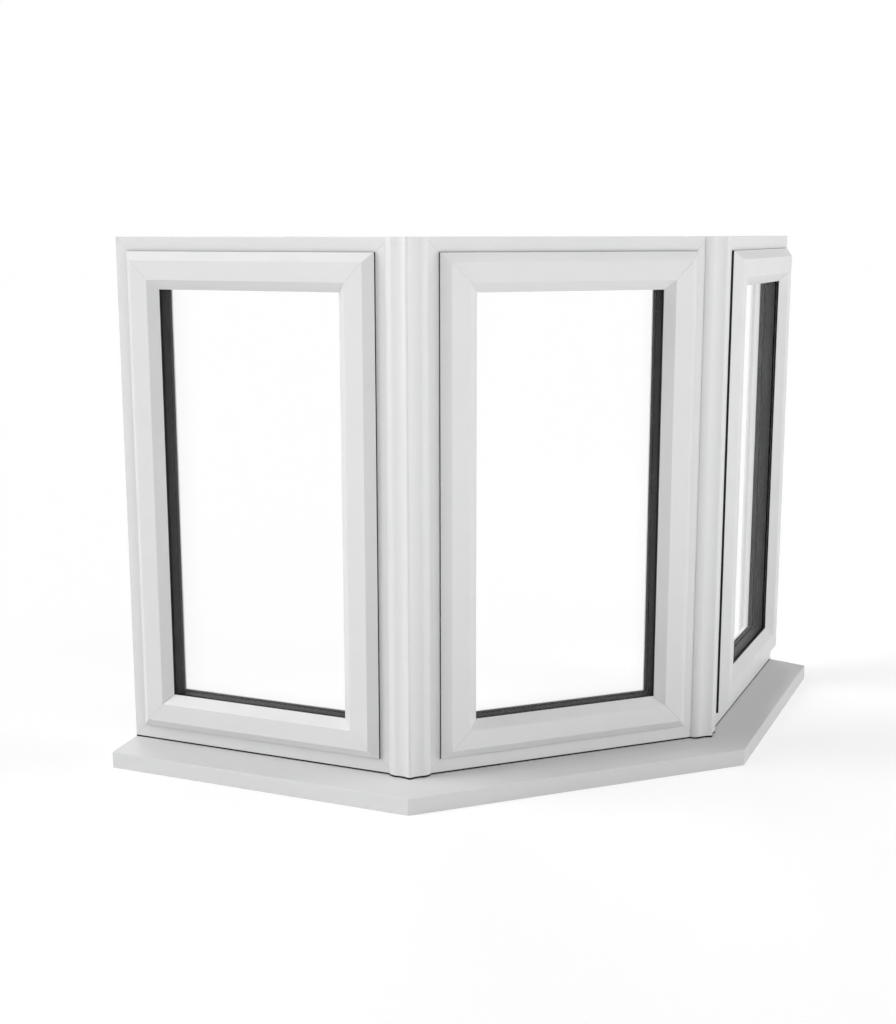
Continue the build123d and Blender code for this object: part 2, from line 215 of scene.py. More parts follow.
class NodeTrees:
    """Trees that draw a section out, weld four bars into a ring, and punch a spacer's slits."""

    def __init__(self) -> None:
        """Builds the three trees."""
        self.bar = self._bar_tree()
        self.ring = self._ring_tree()
        self.slits = self._slit_tree()

    @staticmethod
    def _open(
        name: str, numbers: Sequence[str], switches: Sequence[str] = ()
    ) -> tuple[bpy.types.NodeTree, Any]:
        """Starts a tree and names its inputs.

        Args:
            name: The tree's name.
            numbers: Names of the number inputs.
            switches: Names of the inputs that are on or off.

        Returns:
            The tree, and the sockets that bring its inputs.
        """
        tree = bpy.data.node_groups.new(name, "GeometryNodeTree")
        kinds = {"Geometry": "Geometry", **dict.fromkeys(numbers, "Float")}
        kinds |= {**dict.fromkeys(switches, "Bool"), "Material": "Material"}
        for label, kind in kinds.items():
            tree.interface.new_socket(label, in_out="INPUT", socket_type=f"NodeSocket{kind}")
        tree.interface.new_socket("Geometry", in_out="OUTPUT", socket_type="NodeSocketGeometry")
        return tree, add_node(tree, "NodeGroupInput").outputs

    @staticmethod
    def _close(
        tree: bpy.types.NodeTree, geometry: bpy.types.NodeSocket, material: bpy.types.NodeSocket
    ) -> None:
        """Ends a tree: its instances are made real and get their material.

        Args:
            tree: The geometry tree.
            geometry: What it has made.
            material: The socket that brings the material.
        """
        real = add_node(tree, "GeometryNodeRealizeInstances", {"Geometry": geometry}).outputs[0]
        dressed = {"Geometry": real, "Material": material}
        last = add_node(tree, "GeometryNodeSetMaterial", dressed).outputs[0]
        add_node(tree, "NodeGroupOutput", {0: last})

    @staticmethod
    def _merged(
        tree: bpy.types.NodeTree, geometry: bpy.types.NodeSocket
    ) -> bpy.types.NodeSocket:
        """Makes one point of those that touch."""
        inputs = {"Geometry": geometry, "Distance": TOUCHING}
        return add_node(tree, "GeometryNodeMergeByDistance", inputs).outputs[0]

    def _bar_tree(self) -> bpy.types.NodeTree:
        """Builds the bar along Z, whose ends slant with X and have half a weld groove each.

        Returns:
            The geometry tree.
        """
        numbers = ("Length", "Start Slope", "End Slope", "Groove Width", "Groove Depth", "Gap")
        tree, given = self._open("section bar", numbers, ("Close Ends",))
        place = add_node(tree, "GeometryNodeInputPosition").outputs[0]
        axes = add_node(tree, "ShaderNodeSeparateXYZ", {0: place}).outputs
        values: dict[Any, Any] = {name: given[name] for name in numbers}
        values |= {"X": axes["X"], "Z": axes["Z"]}
        for name, operation, first, second in (
            ("Both Grooves", "MULTIPLY", "Groove Width", 2.0),
            ("Middle", "SUBTRACT", "Length", "Both Grooves"),
            ("Far Line", "SUBTRACT", "Length", TOUCHING),
            ("At Start", "LESS_THAN", "Z", TOUCHING),
            ("At Far End", "GREATER_THAN", "Z", "Far Line"),
            ("At Ends", "ADD", "At Start", "At Far End"),
            ("Sink", "MULTIPLY", "Groove Depth", -1.0),
            ("Half Way", "MULTIPLY", "Length", 0.5),
            ("Far Half", "GREATER_THAN", "Z", "Half Way"),
            ("Near Half", "SUBTRACT", 1.0, "Far Half"),
            ("Start Lean", "MULTIPLY", "X", "Start Slope"),
            ("Start Slant", "ADD", "Start Lean", "Gap"),
            ("End Lean", "MULTIPLY", "X", "End Slope"),
            ("End Slant", "ADD", "End Lean", "Gap"),
            ("Start Shift", "MULTIPLY", "Start Slant", "Near Half"),
            ("End Shift", "MULTIPLY", "End Slant", "Far Half"),
            ("Shift", "SUBTRACT", "Start Shift", "End Shift"),
        ):
            inputs = {0: values.get(first, first), 1: values.get(second, second)}
            step = add_node(tree, "ShaderNodeMath", inputs, operation=operation)
            values[name] = step.outputs[0]
        up = {
            name: add_node(tree, "ShaderNodeCombineXYZ", {"Z": values[name]}).outputs[0]
            for name in ("Groove Width", "Middle", "Length", "Shift")
        }
        mesh, top = given["Geometry"], True
        for name in ("Groove Width", "Middle", "Groove Width"):
            inputs = {"Mesh": mesh, "Selection": top, "Offset": up[name], "Offset Scale": 1.0}
            drawn = add_node(tree, "GeometryNodeExtrudeMesh", inputs, mode="EDGES").outputs
            mesh, top = drawn["Mesh"], drawn["Top"]
        normal = add_node(tree, "GeometryNodeInputNormal").outputs[0]
        inputs = {0: normal, "Scale": values["Sink"]}
        groove = add_node(tree, "ShaderNodeVectorMath", inputs, operation="SCALE").outputs[0]
        inputs = {"Geometry": mesh, "Selection": values["At Ends"], "Offset": groove}
        grooved = add_node(tree, "GeometryNodeSetPosition", inputs).outputs[0]
        curve = add_node(tree, "GeometryNodeMeshToCurve", {"Mesh": given["Geometry"]}).outputs[0]
        cap = add_node(tree, "GeometryNodeFillCurve", {0: curve}).outputs[0]
        inputs = {"Geometry": cap, "Translation": up["Length"]}
        far_cap = add_node(tree, "GeometryNodeTransform", inputs).outputs[0]
        near_cap = add_node(tree, "GeometryNodeFlipFaces", {"Mesh": cap}).outputs[0]
        closed = add_node(tree, "GeometryNodeJoinGeometry")
        for part in (far_cap, near_cap, grooved):
            tree.links.new(part, closed.inputs[0])
        inputs = {"Switch": given["Close Ends"], "False": grooved, "True": closed.outputs[0]}
        whole = add_node(tree, "GeometryNodeSwitch", inputs, input_type="GEOMETRY").outputs[0]
        inputs = {"Geometry": whole, "Offset": up["Shift"]}
        slanted = add_node(tree, "GeometryNodeSetPosition", inputs).outputs[0]
        self._close(tree, self._merged(tree, slanted), given["Material"])
        return tree

    def _ring_tree(self) -> bpy.types.NodeTree:
        """Builds the ring: left, top, right and bottom bars, mitred where they meet.

        Returns:
            The geometry tree.
        """
        grooves = ("Groove Width", "Groove Depth", "Gap")
        tree, given = self._open("welded ring", ("Width", "Height", *grooves), ("Close Ends",))
        shared = {name: given[name] for name in ("Geometry", *grooves, "Close Ends", "Material")}
        shared |= {"Start Slope": 1.0, "End Slope": 1.0}
        bars = {}
        for name in ("Width", "Height"):
            inputs = shared | {"Length": given[name]}
            bars[name] = add_node(tree, "GeometryNodeGroup", inputs, node_tree=self.bar).outputs[0]
        across = add_node(tree, "ShaderNodeCombineXYZ", {"X": given["Width"]}).outputs[0]
        above = add_node(tree, "ShaderNodeCombineXYZ", {"Z": given["Height"]}).outputs[0]
        level = (0.0, math.pi / 2, 0.0)
        mirrored = (-1.0, 1.0, 1.0)
        joined = add_node(tree, "GeometryNodeJoinGeometry")
        tree.links.new(bars["Height"], joined.inputs[0])
        for turned in (
            {"Geometry": bars["Width"], "Rotation": level, "Translation": above},
            {"Geometry": bars["Height"], "Scale": mirrored, "Translation": across},
            {"Geometry": bars["Width"], "Scale": mirrored, "Rotation": level},
        ):
            placed = add_node(tree, "GeometryNodeTransform", turned).outputs[0]
            if "Scale" in turned:
                placed = add_node(tree, "GeometryNodeFlipFaces", {"Mesh": placed}).outputs[0]
            tree.links.new(placed, joined.inputs[0])
        self._close(tree, self._merged(tree, joined.outputs[0]), given["Material"])
        return tree

    def _slit_tree(self) -> bpy.types.NodeTree:
        """Builds two rows of slits along a closed path.

        Returns:
            The geometry tree.
        """
        numbers = ("Pitch", "Slit Length", "Slit Width", "Row Spacing")
        tree, given = self._open("spacer slits", numbers)
        curve = add_node(tree, "GeometryNodeMeshToCurve", {"Mesh": given["Geometry"]}).outputs[0]
        inputs = {"Curve": curve, "Length": given["Pitch"]}
        points = add_node(tree, "GeometryNodeCurveToPoints", inputs, mode="LENGTH").outputs
        wide, long = given["Slit Width"], given["Slit Length"]
        size = add_node(tree, "ShaderNodeCombineXYZ", {"X": wide, "Y": wide, "Z": long}).outputs[0]
        slit = add_node(tree, "GeometryNodeMeshCube", {"Size": size}).outputs[0]
        inputs = {"Vector": points["Tangent"]}
        along = add_node(tree, "FunctionNodeAlignRotationToVector", inputs, axis="Z").outputs[0]
        rows = add_node(tree, "GeometryNodeJoinGeometry")
        for share in (-0.5, 0.5):
            inputs = {0: given["Row Spacing"], 1: share}
            reach = add_node(tree, "ShaderNodeMath", inputs, operation="MULTIPLY").outputs[0]
            offset = add_node(tree, "ShaderNodeCombineXYZ", {"Y": reach}).outputs[0]
            inputs = {"Geometry": points["Points"], "Offset": offset}
            moved = add_node(tree, "GeometryNodeSetPosition", inputs).outputs[0]
            inputs = {"Points": moved, "Instance": slit, "Rotation": along}
            row = add_node(tree, "GeometryNodeInstanceOnPoints", inputs).outputs[0]
            tree.links.new(row, rows.inputs[0])
        self._close(tree, rows.outputs[0], given["Material"])
        return tree


@cache
def node_trees() -> NodeTrees:
    """The trees, built the first time that they are asked for."""
    return NodeTrees()


def run_tree(
    tree: bpy.types.NodeTree, base: bpy.types.Mesh, inputs: Mapping[str, Any]
) -> bpy.types.Mesh:
    """Runs a tree on a mesh.

    Args:
        tree: The geometry tree.
        base: The mesh that enters it.
        inputs: Values by the names of the tree's inputs.

    Returns:
        The result as a plain mesh.
    """
    holder = bpy.data.objects.new("drawing", base)
    bpy.context.scene.collection.objects.link(holder)
    modifier = holder.modifiers.new("drawing", "NODES")
    modifier.node_group = tree
    sockets = {
        item.name: item.identifier
        for item in tree.interface.items_tree
        if item.item_type == "SOCKET" and item.in_out == "INPUT"
    }
    for name, value in inputs.items():
        modifier[sockets[name]] = value
    evaluated = holder.evaluated_get(bpy.context.evaluated_depsgraph_get())
    mesh = bpy.data.meshes.new_from_object(evaluated)
    bpy.data.objects.remove(holder)
    mesh.materials.clear()
    mesh.materials.append(inputs["Material"])
    shape = bmesh.new()
    shape.from_mesh(mesh)
    bmesh.ops.recalc_face_normals(shape, faces=shape.faces[:])
    shape.to_mesh(mesh)
    shape.free()
    return mesh


def draw_ring(
    loops: Iterable[Loop],
    size: Point,
    material: bpy.types.Material,
    groove: Point = (0.0, 0.0),
    gap: float = 0.0,
) -> bpy.types.Mesh:
    """Welded or mitred ring round a window.

    Args:
        loops: The section's outlines in millimetres.
        size: Width and height of the ring's outer edge.
        material: The finish.
        groove: Width and depth of the weld groove at each mitre.
        gap: Distance that each bar stops short of its mitre, for bars that only meet.

    Returns:
        The ring's mesh in metres.
    """
    values = {
        "Width": size[0] * MM,
        "Height": size[1] * MM,
        "Groove Width": max(groove[0] / 2, THIN_GROOVE) * MM,
        "Groove Depth": groove[1] * MM,
        "Gap": gap * MM,
        "Close Ends": gap > 0,
        "Material": material,
    }
    return run_tree(node_trees().ring, section_mesh(loops), values)


def draw_bar(
    loops: Iterable[Loop],
    length: float,
    material: bpy.types.Material,
    slopes: Point = (0.0, 0.0),
) -> bpy.types.Mesh:
    """Bar with closed ends along Z.

    Args:
        loops: The section's outlines in millimetres.
        length: Length where X is 0.
        material: The finish.
        slopes: Change of Z with X at the start, and against it at the end.

    Returns:
        The bar's mesh in metres.
    """
    values = {
        "Length": length * MM,
        "Start Slope": slopes[0],
        "End Slope": slopes[1],
        "Groove Width": THIN_GROOVE * MM,
        "Groove Depth": 0.0,
        "Gap": 0.0,
        "Close Ends": True,
        "Material": material,
    }
    return run_tree(node_trees().bar, section_mesh(loops), values)


def place_piece(
    name: str,
    mesh: bpy.types.Mesh,
    place: Matrix,
    slot: str,
    *nodes: str,
) -> bpy.types.Object:
    """Puts a finished mesh in the bay as a piece that stands for nodes of the model.

    Args:
        name: The piece's name.
        mesh: Its mesh in its own axes.
        place: Where it goes in the bay.
        slot: The record's material slot; not used.
        *nodes: The nodes that it replaces.

    Returns:
        The piece, riding on the body.
    """
    mesh.transform(place)
    mesh.name = name
    for polygon in mesh.polygons:
        polygon.use_smooth = True
    mesh.set_sharp_from_angle(angle=SHARP_ANGLE)
    piece = bpy.data.objects.new(name, mesh)
    bpy.context.scene.collection.objects.link(piece)
    even = piece.modifiers.new("even shading", "WEIGHTED_NORMAL")
    even.keep_sharp = True
    even.weight = FLAT_FACE_WEIGHT
    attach(piece, BODY)
    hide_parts(*nodes)
    LOG.info("%s: %d faces", name, len(mesh.polygons))
    return piece


# --- Finishes ---------------------------------------------------------------------------------


@dataclass(frozen=True)
class Finish:
    """A surface: what the material is and how it was made."""

    name: str
    colour: str
    roughness: float
    ior: float = 1.5
    specular: float = 0.5

    def material(self) -> bpy.types.Material:
        """The Blender material, built the first time that it is asked for."""
        return bpy.data.materials.get(self.name) or self._made()

    def _made(self) -> bpy.types.Material:
        """Builds the material from the finish's own values and its patterns.

        Returns:
            The new material.
        """
        made = bpy.data.materials.new(self.name)
        made.use_nodes = True
        tree = made.node_tree
        shader = tree.nodes["Principled BSDF"]
        shader.inputs["Base Color"].default_value = linear_colour(self.colour)
        shader.inputs["Roughness"].default_value = self.roughness
        shader.inputs["IOR"].default_value = self.ior
        shader.inputs["Specular IOR Level"].default_value = self.specular
        self._pattern(tree, shader)
        return made

    def _pattern(self, tree: bpy.types.NodeTree, shader: bpy.types.Node) -> None:
        """Adds nothing to a plain finish."""

    @staticmethod
    def _relief(
        tree: bpy.types.NodeTree, place: Any, grain: float, depth: float, strength: float = 1.0
    ) -> None:
        """Raises grains over the surface.

        Args:
            tree: The material's tree.
            place: Socket that brings the place in metres.
            grain: Size of a grain in millimetres.
            depth: Height of a grain in millimetres.
            strength: Share of that height that shows.
        """
        inputs = {"Vector": place, "Scale": 1 / (grain * MM), "Detail": NOISE_DETAIL}
        height = add_node(tree, "ShaderNodeTexNoise", inputs).outputs[0]
        inputs = {"Height": height, "Distance": depth * MM, "Strength": strength}
        bump = add_node(tree, "ShaderNodeBump", inputs).outputs[0]
        tree.links.new(bump, tree.nodes["Principled BSDF"].inputs["Normal"])

    def _patches(
        self,
        tree: bpy.types.NodeTree,
        place: Any,
        patch: float,
        detail: float = NOISE_DETAIL,
        tint: tuple[str, float] | None = None,
        gloss: Point | None = None,
    ) -> None:
        """Lets the colour and the gloss drift in patches.

        Args:
            tree: The material's tree.
            place: Socket that brings the place in metres.
            patch: Size of a patch in millimetres.
            detail: Octaves in the pattern.
            tint: The colour that it drifts to, and how far at most.
            gloss: Lowest and highest change of the roughness.
        """
        shader = tree.nodes["Principled BSDF"]
        inputs = {"Vector": place, "Scale": 1 / (patch * MM), "Detail": detail}
        drift = add_node(tree, "ShaderNodeTexNoise", inputs).outputs[0]
        spread = {"Value": drift, "From Min": NOISE_LOW, "From Max": NOISE_HIGH}
        if tint:
            inputs = spread | {"To Min": 0.0, "To Max": tint[1]}
            share = add_node(tree, "ShaderNodeMapRange", inputs).outputs[0]
            colours = {"A": linear_colour(self.colour), "B": linear_colour(tint[0])}
            inputs = {"Factor": share, **colours}
            blend = add_node(tree, "ShaderNodeMix", inputs, data_type="RGBA")
            tree.links.new(blend.outputs["Result"], shader.inputs["Base Color"])
        if gloss:
            low, high = (self.roughness + change for change in gloss)
            inputs = spread | {"To Min": low, "To Max": high}
            rough = add_node(tree, "ShaderNodeMapRange", inputs).outputs[0]
            tree.links.new(rough, shader.inputs["Roughness"])


@dataclass(frozen=True)
class ExtrudedPlastic(Finish):
    """White PVC-U drawn through a polished die: satin gloss with faint lines along its length."""

    die_line: float = 1.6
    die_depth: float = 0.012
    mottle: float = 60.0
    tint: str = "#dfe1e0"
    tint_share: float = 0.5
    gloss: Point = (-0.04, 0.04)

    def _pattern(self, tree: bpy.types.NodeTree, shader: bpy.types.Node) -> None:
        """Adds die lines that follow the section, and a slight drift of colour and gloss.

        Args:
            tree: The material's tree.
            shader: Its main shader.
        """
        place = add_node(tree, "ShaderNodeTexCoord").outputs["Object"]
        around = add_node(tree, "ShaderNodeAttribute", attribute_name="round").outputs["Fac"]
        across = add_node(tree, "ShaderNodeCombineXYZ", {"X": around}).outputs[0]
        # Real die lines are far finer; these are as wide as it takes to see them.
        self._relief(tree, across, self.die_line, self.die_depth)
        self._patches(tree, place, self.mottle, tint=(self.tint, self.tint_share), gloss=self.gloss)


@dataclass(frozen=True)
class SyntheticRubber(Finish):
    """Black EPDM, extruded and cured: matt, with a dusty bloom and a fine grain."""

    bloom: str = "#343434"
    bloom_share: float = 0.6
    bloom_patch: float = 25.0
    bloom_detail: float = 4.0
    grain: float = 1.2
    grain_depth: float = 0.03
    grain_strength: float = 0.4

    def _pattern(self, tree: bpy.types.NodeTree, shader: bpy.types.Node) -> None:
        """Adds a greyer bloom in patches and a grain.

        Args:
            tree: The material's tree.
            shader: Its main shader.
        """
        place = add_node(tree, "ShaderNodeTexCoord").outputs["Object"]
        tint = (self.bloom, self.bloom_share)
        self._patches(tree, place, self.bloom_patch, self.bloom_detail, tint)
        # The grain of a cured skin is far finer; this one is as coarse as it takes to show.
        self._relief(tree, place, self.grain, self.grain_depth, self.grain_strength)


@dataclass(frozen=True)
class FloatGlass(Finish):
    """Clear float glass, poured on molten tin: smooth and bright, with long faint waves."""

    clearness: float = 0.03
    wave: float = 180.0
    wave_depth: float = 0.02
    wave_strength: float = 0.3

    def _pattern(self, tree: bpy.types.NodeTree, shader: bpy.types.Node) -> None:
        """Lets most light straight through, so that the glass casts almost no shadow.

        Args:
            tree: The material's tree.
            shader: Its main shader.
        """
        shader.inputs["Transmission Weight"].default_value = 1.0
        shader.inputs["Alpha"].default_value = self.clearness
        place = add_node(tree, "ShaderNodeTexCoord").outputs["Object"]
        self._relief(tree, place, self.wave, self.wave_depth, self.wave_strength)


@dataclass(frozen=True)
class DrawnMetal(Finish):
    """Mill-finish aluminium, pushed through a die: bright bands along its length."""

    streak: float = 2.5
    streak_detail: float = 3.0
    stretch: float = 100.0
    gloss: Point = (-0.08, 0.12)

    def _pattern(self, tree: bpy.types.NodeTree, shader: bpy.types.Node) -> None:
        """Makes it metal, with streaks in its gloss that run along Z.

        Args:
            tree: The material's tree.
            shader: Its main shader.
        """
        shader.inputs["Metallic"].default_value = 1.0
        place = add_node(tree, "ShaderNodeTexCoord").outputs["Object"]
        inputs = {"Vector": place, "Scale": (1.0, 1.0, 1 / self.stretch)}
        stretched = add_node(tree, "ShaderNodeMapping", inputs).outputs[0]
        self._patches(tree, stretched, self.streak, self.streak_detail, gloss=self.gloss)


@dataclass(frozen=True)
class PowderCoat(Finish):
    """Polyester powder baked on a zinc casting: satin, with a fine orange peel."""

    peel: float = 1.8
    peel_depth: float = 0.04
    peel_strength: float = 0.7
    cloud: float = 12.0
    gloss: Point = (-0.05, 0.05)

    def _pattern(self, tree: bpy.types.NodeTree, shader: bpy.types.Node) -> None:
        """Adds the peel, and small clouds in the gloss.

        Args:
            tree: The material's tree.
            shader: Its main shader.
        """
        place = add_node(tree, "ShaderNodeTexCoord").outputs["Object"]
        self._relief(tree, place, self.peel, self.peel_depth, self.peel_strength)
        self._patches(tree, place, self.cloud, gloss=self.gloss)


# A polished die leaves PVC-U even and satin, so its edges catch soft, wide highlights.
FRAME_PLASTIC = ExtrudedPlastic("PVC-U white extruded satin", "#e3e3e3", 0.36, specular=0.3)
# The same white PVC-U as the frames, drawn a shade darker and less glossy: the darker colour is
# painted shade on the sill's broad top, which gets little light from above.
SILL_PLASTIC_PAINTED_SHADE = ExtrudedPlastic(
    "PVC-U white sill extruded satin", "#e0e0e0", 0.5, specular=0.12, die_line=2.4
)
# Cured rubber soaks up light, so the seals read as dark lines with no highlight.
GASKET_RUBBER = SyntheticRubber("EPDM rubber black extruded matt", "#262626", 0.7, specular=0.08)
# The bar is as matt as the rubber and has its pattern, but a shade lighter, to part the two.
SPACER_STEEL = SyntheticRubber(
    "Black warm-edge spacer matt", "#343434", 0.6, specular=0.1, bloom="#3a3a3a"
)
# Float glass is fire-polished, so it has sharp reflections and is otherwise hardly seen.
CLEAR_GLASS = FloatGlass("Float glass clear", "#f6fbf9", 0.0, ior=1.52)
# Aluminium straight from the press keeps soft streaks that stretch its reflections.
POLE_METAL = DrawnMetal("Aluminium mill finish extruded", "#c9cbcc", 0.34)
# Powder flows as it bakes and leaves a peel, so the handle's highlights have a soft edge.
HANDLE_COAT = PowderCoat("Zinc casting white powder coat", "#e6e7e7", 0.38)
# Not a material of its own: the shade that the eye sees in a slit, which is drawn as a block.
SLIT_SHADOW = Finish("Spacer slit shadow", "#292929", 0.8, specular=0.05)


# --- The plan of the bay ------------------------------------------------------------------------


@dataclass
class BayPlan:
    """Where the windows and the bay corners stand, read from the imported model."""

    facet_turn: float = 45.0
    window_width: float = 0.0
    window_height: float = 0.0
    frame_depth: float = 0.0
    face_y: float = 0.0
    base_z: float = 0.0
    post_gap: float = 0.0
    frame_edge: float = 1.2

    def __post_init__(self) -> None:
        """Reads the centre frame's box, and the gap at the posts from the side frame's."""
        low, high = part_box("centre_outer_frame")
        self.window_width = (high.x - low.x) / MM
        self.window_height = (high.z - low.z) / MM
        self.frame_depth = (high.y - low.y) / MM
        self.face_y = low.y
        self.base_z = low.z
        turn = math.radians(self.facet_turn)
        drawn_in = self.frame_edge * (math.cos(turn) + math.sin(turn) - 1)
        near_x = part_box("right_outer_frame")[0].x / MM - drawn_in
        room_side = self.frame_depth * math.sin(turn)
        reach = near_x + room_side - self.window_width / 2
        self.post_gap = reach / (1 + math.cos(turn))

    @property
    def corner_x(self) -> float:
        """Half the distance between the two bay corners."""
        return self.window_width / 2 + self.post_gap

    @property
    def slope(self) -> float:
        """Change along a facet with depth, on the line where two facets meet."""
        return math.tan(math.radians(self.facet_turn / 2))

    def facet_place(self, facet: Facet) -> Matrix:
        """Finds a facet's place, with its origin mid-way along its outside face, at the ground.

        Args:
            facet: Which window.

        Returns:
            The place in the bay.
        """
        origin = Matrix.Translation((0, self.face_y, 0))
        if facet is Facet.CENTRE:
            return origin
        half = Matrix.Translation((facet.value * self.corner_x * MM, 0, 0))
        turn = Matrix.Rotation(facet.value * math.radians(self.facet_turn), 4, "Z")
        return origin @ half @ turn @ half

    def window_place(self, facet: Facet) -> Matrix:
        """Place of a window's lower left outside corner."""
        shift = Matrix.Translation((-self.window_width / 2 * MM, 0, self.base_z))
        return self.facet_place(facet) @ shift

    def corner_place(self, side: Facet) -> Matrix:
        """Place of a bay corner at the frames' base, with +Y along its middle to the room."""
        corner = Matrix.Translation((side.value * self.corner_x * MM, self.face_y, self.base_z))
        return corner @ Matrix.Rotation(side.value * math.radians(self.facet_turn / 2), 4, "Z")

    def corner_point(self, side: int, along: float, out: float) -> Point:
        """Turns a place on a facet beside a corner to a plan point of that corner.

        Args:
            side: 1 for the right facet, -1 for the left.
            along: Millimetres along the facet from the corner.
            out: Millimetres out from its face.

        Returns:
            The plan point.
        """
        half = math.radians(self.facet_turn / 2)
        x = along * math.cos(half) + out * math.sin(half)
        y = along * math.sin(half) - out * math.cos(half)
        return (side * x, y)


# --- The pieces of a window -----------------------------------------------------------------------


@dataclass(frozen=True)
class CasementProfile:
    """Insets and depths that the pieces of one window share."""

    frame_depth: float = 70.0
    frame_upstand: float = 54.0
    face_shown: float = 26.8
    lip_lift: float = 4.5
    proud: float = 20.4
    outer_chamfer: float = 17.9
    flat: float = 36.0
    inner_chamfer: float = 18.3
    sash_depth: float = 70.0
    body_inset: float = 48.0
    glazing_floor: float = 79.0
    seal_gap: float = 4.5
    pane: float = 4.0
    cavity: float = 20.0
    glass_clearance: float = 5.0
    glass_seat: float = 3.5
    bead_gasket: float = 9.0
    bead_foot: float = 2.7
    bead_foot_width: float = 3.8
    bead_foot_setback: float = 3.6

    @property
    def sash_back(self) -> float:
        """Depth of the sash's room face."""
        return self.sash_depth - self.proud

    @property
    def stop_front(self) -> float:
        """Depth of the frame's stop behind the sash."""
        return self.sash_back + self.seal_gap

    @property
    def lip_top(self) -> float:
        """Inset where the outer chamfer meets the sash's flat."""
        return self.face_shown + self.outer_chamfer

    @property
    def flat_end(self) -> float:
        """Inset where the sash's flat meets its inner chamfer."""
        return self.lip_top + self.flat

    @property
    def sightline(self) -> float:
        """Inset of the sash's edge round the glass."""
        return self.flat_end + self.inner_chamfer

    @property
    def glass_back(self) -> float:
        """Depth of the glass unit's room face."""
        return 2 * self.pane + self.cavity

    @property
    def glass_edge(self) -> float:
        """Inset of the glass unit's edge."""
        return self.glazing_floor + self.glass_clearance

    @property
    def bead_front(self) -> float:
        """Depth of the bead's face on its gasket."""
        return self.glass_back + self.bead_gasket


def block(inset: float, far_inset: float, depth: float, far_depth: float, radius: float) -> Loop:
    """Draws a rectangular section with rounded corners.

    Args:
        inset: Nearest inset from the frame's edge.
        far_inset: Farthest inset.
        depth: Nearest depth.
        far_depth: Farthest depth.
        radius: Of each corner.

    Returns:
        The outline.
    """
    return fillet(
        [
            (inset, depth, radius),
            (far_inset, depth, radius),
            (far_inset, far_depth, radius),
            (inset, far_depth, radius),
        ],
        BLOCK_STEPS,
    )


@dataclass
class WindowPiece:
    """A piece of one window, drawn in the window's own axes."""

    plan: BayPlan
    profile: CasementProfile = CasementProfile()
    piece: ClassVar[str] = ""
    slot: ClassVar[str] = ""
    node: ClassVar[str] = ""

    @property
    def size(self) -> Point:
        """Width and height of the window."""
        return (self.plan.window_width, self.plan.window_height)

    def put(
        self, facet: Facet, name: str, mesh: bpy.types.Mesh, slot: str, node: str
    ) -> bpy.types.Object:
        """Places a mesh in a facet's window, where it stands for that facet's node."""
        place = self.plan.window_place(facet)
        return place_piece(f"{facet.label}_{name}", mesh, place, slot, f"{facet.label}_{node}")

    def mesh(self) -> bpy.types.Mesh:
        """The piece's mesh, which each kind of piece makes in its own way."""
        raise NotImplementedError

    def dress(self, facet: Facet) -> None:
        """Builds the piece in one facet."""
        self.put(facet, self.piece, self.mesh(), self.slot, self.node)


@dataclass
class RingPiece(WindowPiece):
    """A piece whose section runs round the whole window."""

    weld: Point = (0.0, 0.0)
    mitre_gap: float = 0.0
    finish: ClassVar[Finish] = FRAME_PLASTIC

    def outlines(self) -> list[Loop]:
        """The outlines of its section, which each piece draws."""
        raise NotImplementedError

    def mesh(self) -> bpy.types.Mesh:
        """The section drawn round the window."""
        made = self.finish.material()
        return draw_ring(self.outlines(), self.size, made, self.weld, self.mitre_gap)


@dataclass
class OuterFrame(RingPiece):
    """Fixed frame: outside leg, floor, stop with a splayed edge, and clip grooves at its back."""

    piece: ClassVar[str] = "frame_profile"
    slot: ClassVar[str] = "white_pvcu"
    node: ClassVar[str] = "outer_frame"
    leg: float = 38.0
    leg_depth: float = 12.0
    floor: float = 35.0
    splay_inset: float = 8.0
    splay_depth: float = 6.0
    clip_width: float = 6.0
    clip_depth: float = 3.0
    clip_setback: float = 14.0
    edge_radius: float = 1.2
    # A real weld groove is narrower; this one is as wide as it takes to see it.
    weld: Point = (1.8, 0.7)

    def outlines(self) -> list[Loop]:
        """Draws the section of the frame.

        Returns:
            Its outline alone.
        """
        p, r, clip = self.profile, self.edge_radius, self.clip_depth
        back, front = p.frame_depth - self.clip_setback, self.clip_setback
        corners = [
            (0, 0, r),
            (self.leg, 0, r),
            (self.leg, self.leg_depth, 0.4),
            (self.floor, self.leg_depth, 0),
            (self.floor, p.stop_front, 0.8),
            (p.frame_upstand, p.stop_front, r),
            (p.frame_upstand, p.frame_depth - self.splay_depth, r),
            (p.frame_upstand - self.splay_inset, p.frame_depth, r),
            (0, p.frame_depth, r),
            (0, back, 0),
            (clip, back, 0),
            (clip, back - self.clip_width, 0),
            (0, back - self.clip_width, 0),
            (0, front + self.clip_width, 0),
            (clip, front + self.clip_width, 0),
            (clip, front, 0),
            (0, front, 0),
        ]
        return [fillet(corners)]


